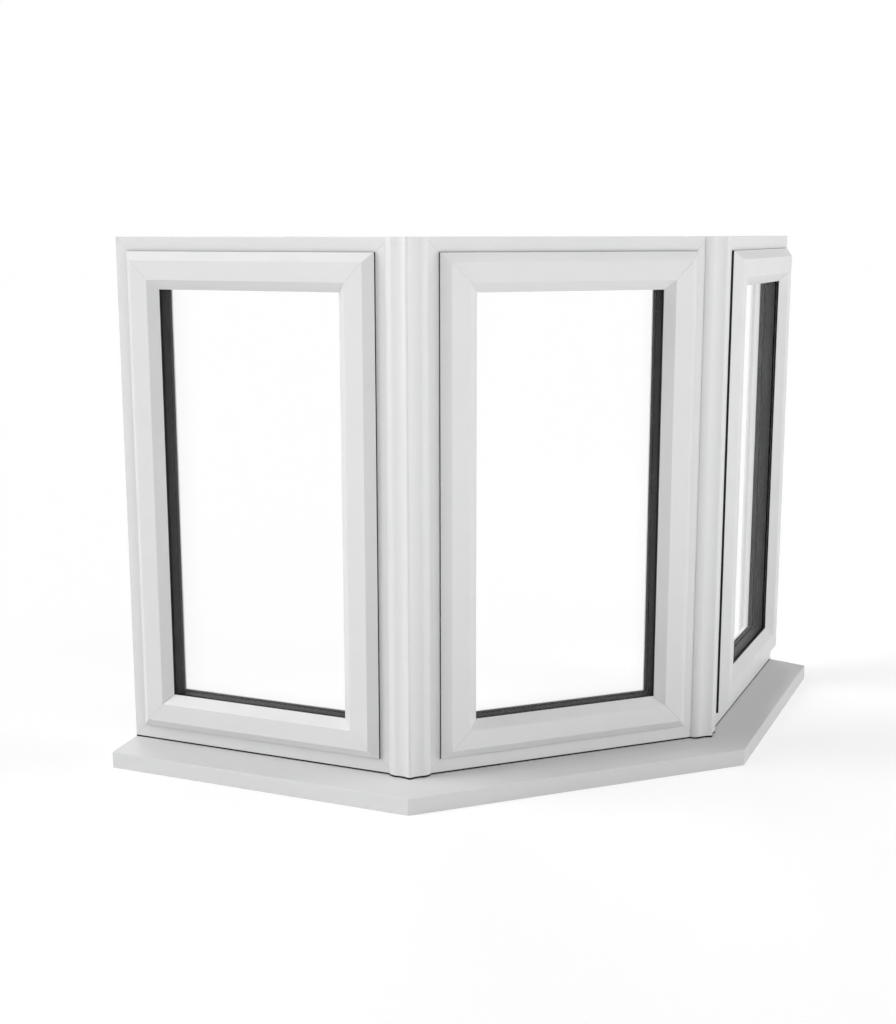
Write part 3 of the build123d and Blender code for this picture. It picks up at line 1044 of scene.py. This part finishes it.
@dataclass
class Sash(RingPiece):
    """Opening sash: lip over the frame, chamfered face, glazing rebate and hardware groove."""

    piece: ClassVar[str] = "sash_profile"
    slot: ClassVar[str] = "white_pvcu"
    node: ClassVar[str] = "sash"
    glass_edge_proud: float = 4.9
    glass_leg_nose: float = 0.9
    groove_width: float = 16.0
    groove_depth: float = 2.5
    slot_width: float = 12.0
    slot_depth: float = 9.0
    groove_middle: float = 30.0
    foot_clearance: float = 0.2
    edge_radius: float = 0.9
    # A real weld groove is narrower; this one is as wide as it takes to see it.
    weld: Point = (1.8, 0.7)

    def outlines(self) -> list[Loop]:
        """Draws the section of the sash.

        Returns:
            Its outline alone.
        """
        p, r, clear = self.profile, self.edge_radius, self.foot_clearance
        body, middle = p.body_inset, self.groove_middle
        groove, slot = body + self.groove_depth, body + self.slot_depth
        groove_half, slot_half = self.groove_width / 2, self.slot_width / 2
        foot_back = p.sash_back - p.bead_foot_setback + clear
        foot_front = foot_back - p.bead_foot_width - 2 * clear
        foot_floor = p.glazing_floor - p.bead_foot - clear
        corners = [
            (p.face_shown, -p.lip_lift, r / 2),
            (p.lip_top, -p.proud, r),
            (p.flat_end, -p.proud, r),
            (p.sightline, -self.glass_edge_proud, r / 3),
            (p.sightline - self.glass_leg_nose, -p.glass_seat, 0),
            (p.glazing_floor, -p.glass_seat, 0),
            (p.glazing_floor, foot_front, 0),
            (foot_floor, foot_front, 0),
            (foot_floor, foot_back, 0),
            (p.glazing_floor, foot_back, 0),
            (p.glazing_floor, p.sash_back, 0.4),
            (body, p.sash_back, r),
            (body, middle + groove_half, 0.4),
            (groove, middle + groove_half, 0),
            (groove, middle + slot_half, 0.4),
            (slot, middle + slot_half, 0),
            (slot, middle - slot_half, 0),
            (groove, middle - slot_half, 0.4),
            (groove, middle - groove_half, 0),
            (body, middle - groove_half, 0.4),
            (body, -p.lip_lift, 0.4),
        ]
        return [fillet(corners)]


@dataclass
class GlazingBeads(RingPiece):
    """Four clip-in beads on the room side, mitred but not welded."""

    piece: ClassVar[str] = "bead_set"
    slot: ClassVar[str] = "white_pvcu"
    node: ClassVar[str] = "glazing_beads"
    nose: float = 3.5
    splay: float = 7.0
    edge_radius: float = 0.8
    mitre_gap: float = 0.3

    def outlines(self) -> list[Loop]:
        """Draws the section of a bead.

        Returns:
            Its outline alone.
        """
        p, r = self.profile, self.edge_radius
        foot_back = p.sash_back - p.bead_foot_setback
        foot_front = foot_back - p.bead_foot_width
        foot_end = p.glazing_floor - p.bead_foot
        corners = [
            (p.glazing_floor, p.bead_front, 0.3),
            (p.sightline, p.bead_front, 0.3),
            (p.sightline, p.bead_front + self.nose, r),
            (p.sightline - self.splay, p.sash_back, r),
            (p.glazing_floor, p.sash_back, 0.3),
            (p.glazing_floor, foot_back, 0),
            (foot_end, foot_back, 0.3),
            (foot_end, foot_front, 0.3),
            (p.glazing_floor, foot_front, 0),
        ]
        return [fillet(corners)]


@dataclass
class GlassUnit(WindowPiece):
    """Two panes of float glass with ground arrises."""

    piece: ClassVar[str] = "panes"
    slot: ClassVar[str] = "clear_glass"
    node: ClassVar[str] = "glass"
    arris: float = 0.5

    def mesh(self) -> bpy.types.Mesh:
        """Makes both panes.

        Returns:
            The mesh.
        """
        p, (width, height) = self.profile, self.size
        edge = p.glass_edge
        mesh = bpy.data.meshes.new("panes")
        shape = bmesh.new()
        for depth in (0.0, p.pane + p.cavity):
            span = Vector((width - 2 * edge, p.pane, height - 2 * edge))
            middle = Vector((width / 2, depth + p.pane / 2, height / 2))
            place = Matrix.Translation(middle * MM) @ Matrix.Diagonal((*(span * MM), 1))
            bmesh.ops.create_cube(shape, size=1, matrix=place)
        bmesh.ops.bevel(
            shape, geom=shape.edges[:], offset=self.arris * MM, segments=1, affect="EDGES"
        )
        shape.to_mesh(mesh)
        shape.free()
        mesh.materials.append(CLEAR_GLASS.material())
        return mesh


@dataclass
class SpacerBar(RingPiece):
    """Warm-edge bar between the panes, with two rows of slits in the face that looks inwards."""

    piece: ClassVar[str] = "spacer"
    slot: ClassVar[str] = "black_spacer"
    node: ClassVar[str] = "spacer_bar"
    finish: ClassVar[Finish] = SPACER_STEEL
    cover: float = 14.5
    height: float = 12.0
    corner: float = 0.6
    # Real slits are finer and closer; these are as coarse as it takes to see them.
    slit_pitch: float = 4.0
    slit_length: float = 2.2
    slit_width: float = 0.5
    row_spacing: float = 11.0

    @property
    def inner_face(self) -> float:
        """Inset of the face that looks inwards."""
        return self.profile.glass_edge + self.cover

    def outlines(self) -> list[Loop]:
        """The section of the bar."""
        p, inner = self.profile, self.inner_face
        return [block(inner - self.height, inner, p.pane, p.pane + p.cavity, self.corner)]

    def slits(self) -> bpy.types.Mesh:
        """Lays the slits round one window's spacer.

        Returns:
            The slits' mesh.
        """
        p, (width, height) = self.profile, self.size
        inset, depth = self.inner_face, p.pane + p.cavity / 2
        corners = [(inset, inset), (width - inset, inset)]
        corners += [(width - inset, height - inset), (inset, height - inset)]
        path = bpy.data.meshes.new("slit path")
        points = [Vector((x, depth, z)) * MM for x, z in corners]
        path.from_pydata(points, [(0, 1), (1, 2), (2, 3), (3, 0)], [])
        values = {
            "Pitch": self.slit_pitch * MM,
            "Slit Length": self.slit_length * MM,
            "Slit Width": self.slit_width * MM,
            "Row Spacing": self.row_spacing * MM,
            "Material": SLIT_SHADOW.material(),
        }
        return run_tree(node_trees().slits, path, values)

    def mesh(self) -> bpy.types.Mesh:
        """The bar with its slits."""
        return join_meshes([super().mesh(), self.slits()])


@dataclass
class GlazingGaskets(RingPiece):
    """Rubber that holds the glass on both faces."""

    piece: ClassVar[str] = "glazing_rubber"
    slot: ClassVar[str] = "black_gasket"
    node: ClassVar[str] = "glass_gaskets"
    finish: ClassVar[Finish] = GASKET_RUBBER
    setback: float = 0.2
    bite: float = 9.0
    lip_radius: float = 0.35

    def outlines(self) -> list[Loop]:
        """Draws the sections of both gaskets.

        Returns:
            The outer one and the one on the room side.
        """
        p, r = self.profile, self.lip_radius
        face = p.sightline - self.setback
        return [
            block(face - self.bite, face, -p.glass_seat, 0, r),
            block(face - self.bite, face, p.glass_back, p.bead_front, r),
        ]


@dataclass
class WeatherSeals(RingPiece):
    """The two seals that the sash closes on."""

    piece: ClassVar[str] = "closing_seals"
    slot: ClassVar[str] = "black_gasket"
    node: ClassVar[str] = "weather_seals"
    finish: ClassVar[Finish] = GASKET_RUBBER
    seal_width: float = 5.0
    outer_setback: float = 0.4
    inner_setback: float = 0.8
    seal_radius: float = 1.4

    def outlines(self) -> list[Loop]:
        """Draws the sections of both seals.

        Returns:
            The outer one and the one on the room side.
        """
        p, width, r = self.profile, self.seal_width, self.seal_radius
        outer, inner = p.face_shown + self.outer_setback, p.frame_upstand - self.inner_setback
        return [
            block(outer, outer + width, -p.lip_lift, 0, r),
            block(inner - width, inner, p.sash_back, p.stop_front, r),
        ]


@dataclass
class Handle(WindowPiece):
    """Window handle on the room side: a long base plate, a neck and a cranked lever."""

    plate_width: float = 20.0
    plate_length: float = 128.0
    plate_thickness: float = 7.0
    plate_edge: float = 2.0
    neck_radius: float = 7.0
    standoff: float = 26.0
    lever_length: float = 112.0
    head_width: float = 19.0
    tip_width: float = 13.0
    lever_thickness: float = 10.0
    lever_edge: float = 3.0
    lever_back_edge: float = 1.5
    end_split: float = 0.001  # keeps the two halves of a round neck from sharing points
    around: int = 48

    def ends_loop(self, top: Point, bottom: Point, depth: float) -> list[Vector]:
        """Draws two round ends joined by tangents.

        Args:
            top: Height and radius of the upper end.
            bottom: Height and radius of the lower end.
            depth: Depth into the room.

        Returns:
            Points round the outline.
        """
        (high, big), (low, small) = top, bottom
        lean = math.asin((big - small) / (high - low)) if high > low else 0.0
        half = self.around // 2
        points = []
        for start, sweep, height, radius in (
            (-lean, math.pi + 2 * lean, high, big),
            (math.pi + lean, math.pi - 2 * lean, low, small),
        ):
            for i in range(half):
                angle = start + sweep * i / (half - 1)
                x, z = radius * math.cos(angle), height + radius * math.sin(angle)
                points.append(Vector((x, depth, z)) * MM)
        return points

    def pad(
        self, ends: tuple[float, float, float, float], depths: Point, rounding: Point
    ) -> list[list[Vector]]:
        """Draws a pad with rounded edges.

        Args:
            ends: Upper height and radius, lower height and radius.
            depths: Near and far depth.
            rounding: Edge radius at the near and the far face.

        Returns:
            Loops from the near face to the far one.
        """
        high, big, low, small = ends
        loops = []
        steps = ARC_STEPS + 1
        for face, sign, r in ((depths[0], 1, rounding[0]), (depths[1], -1, rounding[1])):
            part = []
            for i in range(steps if r else 1):
                angle = math.pi / 2 * i / max(steps - 1, 1)
                cut = r * (1 - math.sin(angle))
                depth = face + sign * r * (1 - math.cos(angle))
                part.append(self.ends_loop((high, big - cut), (low, small - cut), depth))
            loops += part if sign > 0 else part[::-1]
        return loops

    def dress(self, facet: Facet) -> None:
        """Builds the base plate and the lever on one stile.

        Args:
            facet: Which window.
        """
        p, (width, height) = self.profile, self.size
        stile = (p.frame_upstand + p.glazing_floor) / 2
        x = width - stile if facet is Facet.LEFT else stile
        place = Matrix.Translation(Vector((x, p.sash_back, height / 2)) * MM)
        end = self.plate_width / 2
        reach = self.plate_length / 2 - end
        plate = self.pad((reach, end, -reach, end), (0, self.plate_thickness), (0, self.plate_edge))
        head, tip = self.head_width / 2, self.tip_width / 2
        far = self.standoff + self.lever_thickness
        edges = (self.lever_back_edge, self.lever_edge)
        grip = self.pad((0, head, -self.lever_length, tip), (self.standoff, far), edges)
        neck = self.pad(
            (self.end_split, self.neck_radius, 0, self.neck_radius),
            (self.plate_thickness, self.standoff + self.lever_edge),
            (0, 0),
        )
        for name, node, lofts in (
            ("handle_base", "handle_plate", [plate]),
            ("handle_grip", "handle_lever", [grip, neck]),
        ):
            mesh = join_meshes([loft(loops, HANDLE_COAT.material()) for loops in lofts])
            mesh.transform(place)
            self.put(facet, name, mesh, "white_handle", node)


def loft(loops: list[list[Vector]], material: bpy.types.Material) -> bpy.types.Mesh:
    """Closes a skin through loops of equal length.

    Args:
        loops: Loops in order.
        material: The finish.

    Returns:
        The mesh.
    """
    shape = bmesh.new()
    rings = [[shape.verts.new(point) for point in loop] for loop in loops]
    count = len(rings[0])
    for near, far in zip(rings, rings[1:]):
        for i in range(count):
            j = (i + 1) % count
            shape.faces.new((near[i], near[j], far[j], far[i]))
    shape.faces.new(rings[0])
    shape.faces.new(rings[-1])
    bmesh.ops.recalc_face_normals(shape, faces=shape.faces[:])
    mesh = bpy.data.meshes.new("loft")
    shape.to_mesh(mesh)
    shape.free()
    mesh.materials.append(material)
    return mesh


def join_meshes(meshes: Sequence[bpy.types.Mesh]) -> bpy.types.Mesh:
    """Joins meshes of one material each.

    Args:
        meshes: What is joined.

    Returns:
        One mesh with all their materials.
    """
    joined = bpy.data.meshes.new("joined")
    shape = bmesh.new()
    for mesh in meshes:
        material = mesh.materials[0]
        if material.name not in joined.materials:
            joined.materials.append(material)
        first = len(shape.faces)
        shape.from_mesh(mesh)
        shape.faces.ensure_lookup_table()
        for face in shape.faces[first:]:
            face.material_index = joined.materials.find(material.name)
    shape.to_mesh(joined)
    shape.free()
    return joined


@dataclass
class CasementWindow:
    """One outward-opening casement with everything in it."""

    plan: BayPlan
    kinds: ClassVar[tuple[type[WindowPiece], ...]] = (
        OuterFrame, Sash, GlazingBeads, GlassUnit, SpacerBar, GlazingGaskets, WeatherSeals, Handle
    )

    def dress(self, facet: Facet) -> None:
        """Builds every piece of one facet's window."""
        for kind in self.kinds:
            kind(self.plan).dress(facet)


# --- Bay posts and sill ---------------------------------------------------------------------------


@dataclass
class BayPost:
    """Corner between two windows: covers outside and inside, over a pole and its adaptors."""

    plan: BayPlan
    lap: float = 8.0
    wall: float = 2.4
    wing_edge: float = 1.0
    shadow_gap: Point = (2.4, 0.8)
    crown: Point = (25.0, 6.4)
    shoulder_share: float = 0.57
    shoulder_rise: float = 0.8
    valley: Point = (14.5, 5.5)
    root: Point = (0.5, 7.8)
    nose: float = 8.4
    leg_length: float = 7.0
    leg_thickness: float = 2.0
    leg_clearance: float = 1.0
    trim_wing: float = 22.0
    trim_thickness: float = 3.0
    trim_edge: float = 1.2
    trim_cove: float = 15.0
    trim_leg: Point = (6.0, 12.0)
    arc_steps: int = 10

    def half_skin(self, side: int, start: float, thinner: float) -> Loop:
        """Draws one side of the cover's skin, from its wing to the root beside the nose.

        Args:
            side: 1 for the right, -1 for the left.
            start: Distance of the wing's edge from the corner line.
            thinner: How far inside the outer skin.

        Returns:
            Points of the outline.
        """
        along, rise = self.crown[0], self.crown[1] - thinner
        shoulder = (along + (start - along) * self.shoulder_share, rise * self.shoulder_rise)
        marks = [
            (start, self.wing_edge),
            shoulder,
            (along, rise),
            (self.valley[0], self.valley[1] - thinner),
            (self.root[0], self.root[1] - thinner),
        ]
        spots = [self.plan.corner_point(side, *mark) for mark in marks]
        upper = arc_through(*spots[0:3], self.arc_steps)
        return upper + arc_through(*spots[2:5], self.arc_steps)

    def nose_arc(self, thinner: float) -> Loop:
        """Draws the cover's nose from its right root to its left one.

        Args:
            thinner: How far inside the outer skin.

        Returns:
            Points of the outline.
        """
        ends = [
            self.plan.corner_point(side, self.root[0], self.root[1] - thinner) for side in (1, -1)
        ]
        top = (0.0, -(self.nose - thinner))
        return arc_through(ends[0], top, ends[1], self.arc_steps) + [ends[1]]

    def outside_outline(self) -> Loop:
        """Draws the plan of the outside cover: skin, wing tips and snap legs.

        Returns:
            The outline.
        """
        point = self.plan.corner_point
        lap = self.plan.post_gap + self.lap
        leg_out = self.plan.post_gap - self.leg_clearance
        leg_in = leg_out - self.leg_thickness
        gap_depth, gap_height = self.shadow_gap
        tips = {
            side: [
                point(side, lap, gap_height),
                point(side, lap - gap_depth, gap_height),
                point(side, lap - gap_depth, 0),
                point(side, leg_out, 0),
                point(side, leg_out, -self.leg_length),
                point(side, leg_in, -self.leg_length),
            ]
            for side in (1, -1)
        }
        outer = self.half_skin(1, lap, 0) + self.nose_arc(0)
        outer += self.half_skin(-1, lap, 0)[::-1]
        inner = self.half_skin(-1, leg_in, self.wall) + self.nose_arc(self.wall)[::-1]
        inner += self.half_skin(1, leg_in, self.wall)[::-1]
        return outer + tips[-1] + inner + tips[1][::-1]

    def inside_outline(self) -> Loop:
        """Draws the plan of the inside cover: two wings in a cove, and a leg between the jambs.

        Returns:
            The outline.
        """
        point, depth = self.plan.corner_point, self.plan.frame_depth
        turn = math.radians(self.plan.facet_turn / 2)
        tip = depth * math.tan(turn) + self.trim_wing
        front = depth + self.trim_thickness
        corner_y, cove_y = depth / math.cos(turn), front / math.cos(turn)
        half, end = self.trim_leg[0] / 2, corner_y - self.trim_leg[1]
        join_y = corner_y + half * math.tan(turn)
        return fillet(
            [
                (*point(1, tip, -depth), 0.2),
                (*point(1, tip, -front), self.trim_edge),
                (0, cove_y, self.trim_cove),
                (*point(-1, tip, -front), self.trim_edge),
                (*point(-1, tip, -depth), 0.2),
                (-half, join_y, 0),
                (-half, end, 0.5),
                (half, end, 0.5),
                (half, join_y, 0),
            ]
        )

    def dress(self, side: Facet) -> None:
        """Builds both covers of one bay post, and finishes its pole and adaptors.

        Args:
            side: The facet beyond the post.
        """
        place, height = self.plan.corner_place(side), self.plan.window_height
        for name, outline, node in (
            ("post_cover", self.outside_outline(), "outside_cover"),
            ("room_trim", self.inside_outline(), "inside_cover"),
        ):
            mesh = draw_bar([outline], height, FRAME_PLASTIC.material())
            piece, stands_for = f"{side.label}_{name}", f"{side.label}_{node}"
            place_piece(piece, mesh, place, "white_pvcu", stands_for)
        finish_node(f"{side.label}_bay_pole", POLE_METAL)
        finish_node(f"{side.label}_post_adaptors", FRAME_PLASTIC)


def finish_node(node: str, finish: Finish) -> None:
    """Gives a node that stays as it is its finish.

    Args:
        node: The node's name.
        finish: What it is made of.
    """
    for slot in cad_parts[node].material_slots:
        slot.material = finish.material()
    LOG.info("%s: kept from the model", node)


@dataclass
class Sill:
    """Three sill boards mitred under the bay corners, with caps on their outer ends."""

    plan: BayPlan
    projection: float = 82.5
    nose_height: float = 32.8
    fall: float = 7.7
    nose_radius: float = 2.5
    drip_setback: float = 12.0
    drip_width: float = 8.0
    drip_depth: float = 5.0
    cap_thickness: float = 3.0

    def outline(self) -> Loop:
        """Draws the section of the sill.

        Returns:
            Its outline as (depth, height).
        """
        front, back, r = -self.projection, self.plan.frame_depth, self.nose_radius
        top, drip = self.nose_height + self.fall, self.drip_setback - self.projection
        return fillet(
            [
                (front, 0, r / 2),
                (front, self.nose_height, r),
                (0, top, 0),
                (back, top, 0),
                (back, 0, 0),
                (drip + self.drip_width, 0, 0.4),
                (drip + self.drip_width, self.drip_depth, 0),
                (drip, self.drip_depth, 0),
                (drip, 0, 0.4),
            ]
        )

    def dress(self) -> None:
        """Builds the boards and their end caps, and finishes the seal under them."""
        plan, slope, corner = self.plan, self.plan.slope, self.plan.corner_x
        along = Matrix(((0, 0, 1, 0), (1, 0, 0, 0), (0, 1, 0, 0), (0, 0, 0, 1)))
        cap, level = self.cap_thickness, (0.0, 0.0)
        end = plan.post_gap + plan.window_width - corner - cap
        for facet, name, node, start, length, slopes in (
            (Facet.LEFT, "sill_board", "sill", -end, corner + end, (0.0, slope)),
            (Facet.CENTRE, "sill_board", "sill", -corner, corner + corner, (slope, slope)),
            (Facet.RIGHT, "sill_board", "sill", -corner, end + corner, (slope, 0.0)),
            (Facet.LEFT, "end_cap", "sill_end_cap", -end - cap, cap, level),
            (Facet.RIGHT, "end_cap", "sill_end_cap", end, cap, level),
        ):
            # The sill's finish carries painted shade for its top.
            mesh = draw_bar([self.outline()], length, SILL_PLASTIC_PAINTED_SHADE.material(), slopes)
            place = plan.facet_place(facet) @ Matrix.Translation((start * MM, 0, 0)) @ along
            label = facet.label
            place_piece(f"{label}_{name}", mesh, place, "white_sill", f"{label}_{node}")
        finish_node("bedding_seal", GASKET_RUBBER)


# --- Studio ---------------------------------------------------------------------------------------


@dataclass(frozen=True)
class Lamp:
    """A soft lamp so far off that it lights the whole bay alike."""

    name: str
    azimuth: float
    elevation: float
    strength: float
    spread: float = 25.0

    def hang(self) -> bpy.types.Object:
        """Hangs the lamp, aimed at the bay.

        Returns:
            The lamp's object.
        """
        data = bpy.data.lights.new(self.name, "SUN")
        data.energy = self.strength
        data.angle = math.radians(self.spread)
        holder = bpy.data.objects.new(self.name, data)
        a, e = math.radians(self.azimuth), math.radians(self.elevation)
        toward = Vector((math.sin(a) * math.cos(e), -math.cos(a) * math.cos(e), math.sin(e)))
        holder.rotation_euler = toward.to_track_quat("Z", "Y").to_euler()
        bpy.context.scene.collection.objects.link(holder)
        return holder


@dataclass(frozen=True)
class Softbox:
    """A softbox lying on the floor and shining up, with its place and size in metres."""

    name: str
    middle: Point
    size: Point
    glow: float
    lift: float = 0.003

    def hang(self) -> bpy.types.Object:
        """Lays the softbox down.

        Returns:
            The lamp's object.
        """
        data = bpy.data.lights.new(self.name, "AREA")
        data.shape = "RECTANGLE"
        data.size, data.size_y = self.size
        data.energy = self.glow * math.pi * self.size[0] * self.size[1]
        holder = bpy.data.objects.new(self.name, data)
        holder.location = (*self.middle, self.lift)
        holder.rotation_euler = (math.pi, 0, 0)
        holder.visible_camera = False
        bpy.context.scene.collection.objects.link(holder)
        return holder


@dataclass
class Studio:
    """Pale floor, soft lamps, white surroundings and the camera."""

    plan: BayPlan
    lamps: Sequence[Lamp] = (
        Lamp("left wall", -100.0, 6.0, 0.79, 16.0),
        Lamp("far left", -97.0, 32.0, 0.36, 20.0),
        Lamp("high left wall", -105.0, 40.0, 0.38, 30.0),
        Lamp("upper left", -100.0, 50.0, 0.68, 24.0),
        Lamp("over the left head", -121.0, 59.0, 0.29, 14.0),
        Lamp("high front left", -45.0, 32.0, 0.19, 40.0),
        Lamp("high front", 0.0, 32.0, 0.6, 40.0),
        Lamp("low front", 15.0, 4.0, 0.23, 24.0),
        Lamp("right wall", 60.0, 16.0, 1.01, 20.0),
        Lamp("over the right head", 75.0, 63.0, 0.18, 14.0),
        Lamp("room side", 180.0, 25.0, 1.0, 40.0),
    )
    softboxes: Sequence[Softbox] = (Softbox("front panel", (0.0, -2.4), (5.0, 2.2), 1.08),)
    ambient: float = 0.0
    camera_x: float = -1247.5
    camera_y: float = -2539.7
    camera_rise: float = 6.88
    yaw: float = 21.915
    pitch: float = 11.031
    lens: float = 52.97
    shift: Point = (-0.0104, 0.0141)
    floor_reach: float = 40.0
    floor_colour: str = "#f2f2f2"
    floor_shade: str = "#a2a2a2"
    floor_glow: float = 0.7
    floor_roughness: float = 0.9
    clip: Point = (0.05, 100.0)

    def _white_to_camera(self, tree: bpy.types.NodeTree) -> bpy.types.NodeSocket:
        """Tells whether a ray comes from the camera, a gloss or clear glass.

        Args:
            tree: The tree that asks.

        Returns:
            The socket that is 1 for such a ray.
        """
        path = add_node(tree, "ShaderNodeLightPath").outputs
        seen: Any = path["Is Camera Ray"]
        for name in ("Is Glossy Ray", "Is Transmission Ray"):
            inputs = {0: seen, 1: path[name]}
            seen = add_node(tree, "ShaderNodeMath", inputs, operation="MAXIMUM").outputs[0]
        return seen

    def world(self) -> None:
        """White surroundings that light the bay only a little."""
        world = bpy.data.worlds.new("white room")
        world.use_nodes = True
        bpy.context.scene.world = world
        tree = world.node_tree
        seen = self._white_to_camera(tree)
        strength = add_node(
            tree, "ShaderNodeMapRange", {"Value": seen, "To Min": self.ambient, "To Max": 1.0}
        ).outputs[0]
        background = tree.nodes["Background"]
        background.inputs["Color"].default_value = (1, 1, 1, 1)
        tree.links.new(strength, background.inputs["Strength"])

    def floor(self) -> None:
        """Lays a wide floor in pale paint, white where it is lit and darker in the shadow."""
        mesh = bpy.data.meshes.new("floor")
        reach = self.floor_reach
        mesh.from_pydata(
            [(-reach, -reach, 0), (reach, -reach, 0), (reach, reach, 0), (-reach, reach, 0)],
            [],
            [(0, 1, 2, 3)],
        )
        floor = bpy.data.objects.new("floor", mesh)
        bpy.context.scene.collection.objects.link(floor)
        paint = bpy.data.materials.new("Pale floor paint")
        paint.use_nodes = True
        tree = paint.node_tree
        shader = tree.nodes["Principled BSDF"]
        shader.inputs["Base Color"].default_value = linear_colour(self.floor_colour)
        shader.inputs["Roughness"].default_value = self.floor_roughness
        shader.inputs["Specular IOR Level"].default_value = 0.0
        glow = add_node(tree, "ShaderNodeEmission", {"Strength": self.floor_glow}).outputs[0]
        shade = add_node(
            tree, "ShaderNodeBsdfDiffuse", {"Color": linear_colour(self.floor_shade)}
        ).outputs[0]
        seen = add_node(tree, "ShaderNodeAddShader", {0: glow, 1: shade}).outputs[0]
        mixed = add_node(
            tree,
            "ShaderNodeMixShader",
            {0: self._white_to_camera(tree), 1: shader.outputs[0], 2: seen},
        ).outputs[0]
        tree.links.new(mixed, tree.nodes["Material Output"].inputs["Surface"])
        mesh.materials.append(paint)

    def camera(self) -> None:
        """Sets up the camera at the left of the bay's front, level with its head."""
        data = bpy.data.cameras.new("camera")
        data.lens = self.lens
        data.shift_x, data.shift_y = self.shift
        data.clip_start, data.clip_end = self.clip
        camera = bpy.data.objects.new("camera", data)
        head = self.plan.base_z + self.plan.window_height * MM
        camera.location = (
            self.camera_x * MM,
            self.plan.face_y + self.camera_y * MM,
            head + self.camera_rise * MM,
        )
        camera.rotation_euler = (math.radians(90 - self.pitch), 0, math.radians(-self.yaw))
        bpy.context.scene.collection.objects.link(camera)
        bpy.context.scene.camera = camera
        bpy.context.scene.view_settings.view_transform = "Standard"

    def build(self) -> None:
        """Sets up everything round the bay."""
        self.world()
        self.floor()
        for lamp in (*self.lamps, *self.softboxes):
            lamp.hang()
        self.camera()


def main() -> None:
    """Dresses the three windows, the posts and the sill, and sets up the studio."""
    logging.basicConfig(level=logging.INFO, format="%(name)s: %(message)s")
    plan = BayPlan()
    for facet in Facet:
        CasementWindow(plan).dress(facet)
    for side in (Facet.LEFT, Facet.RIGHT):
        BayPost(plan).dress(side)
    Sill(plan).dress()
    Studio(plan).build()


if __name__ == "__main__":
    main()
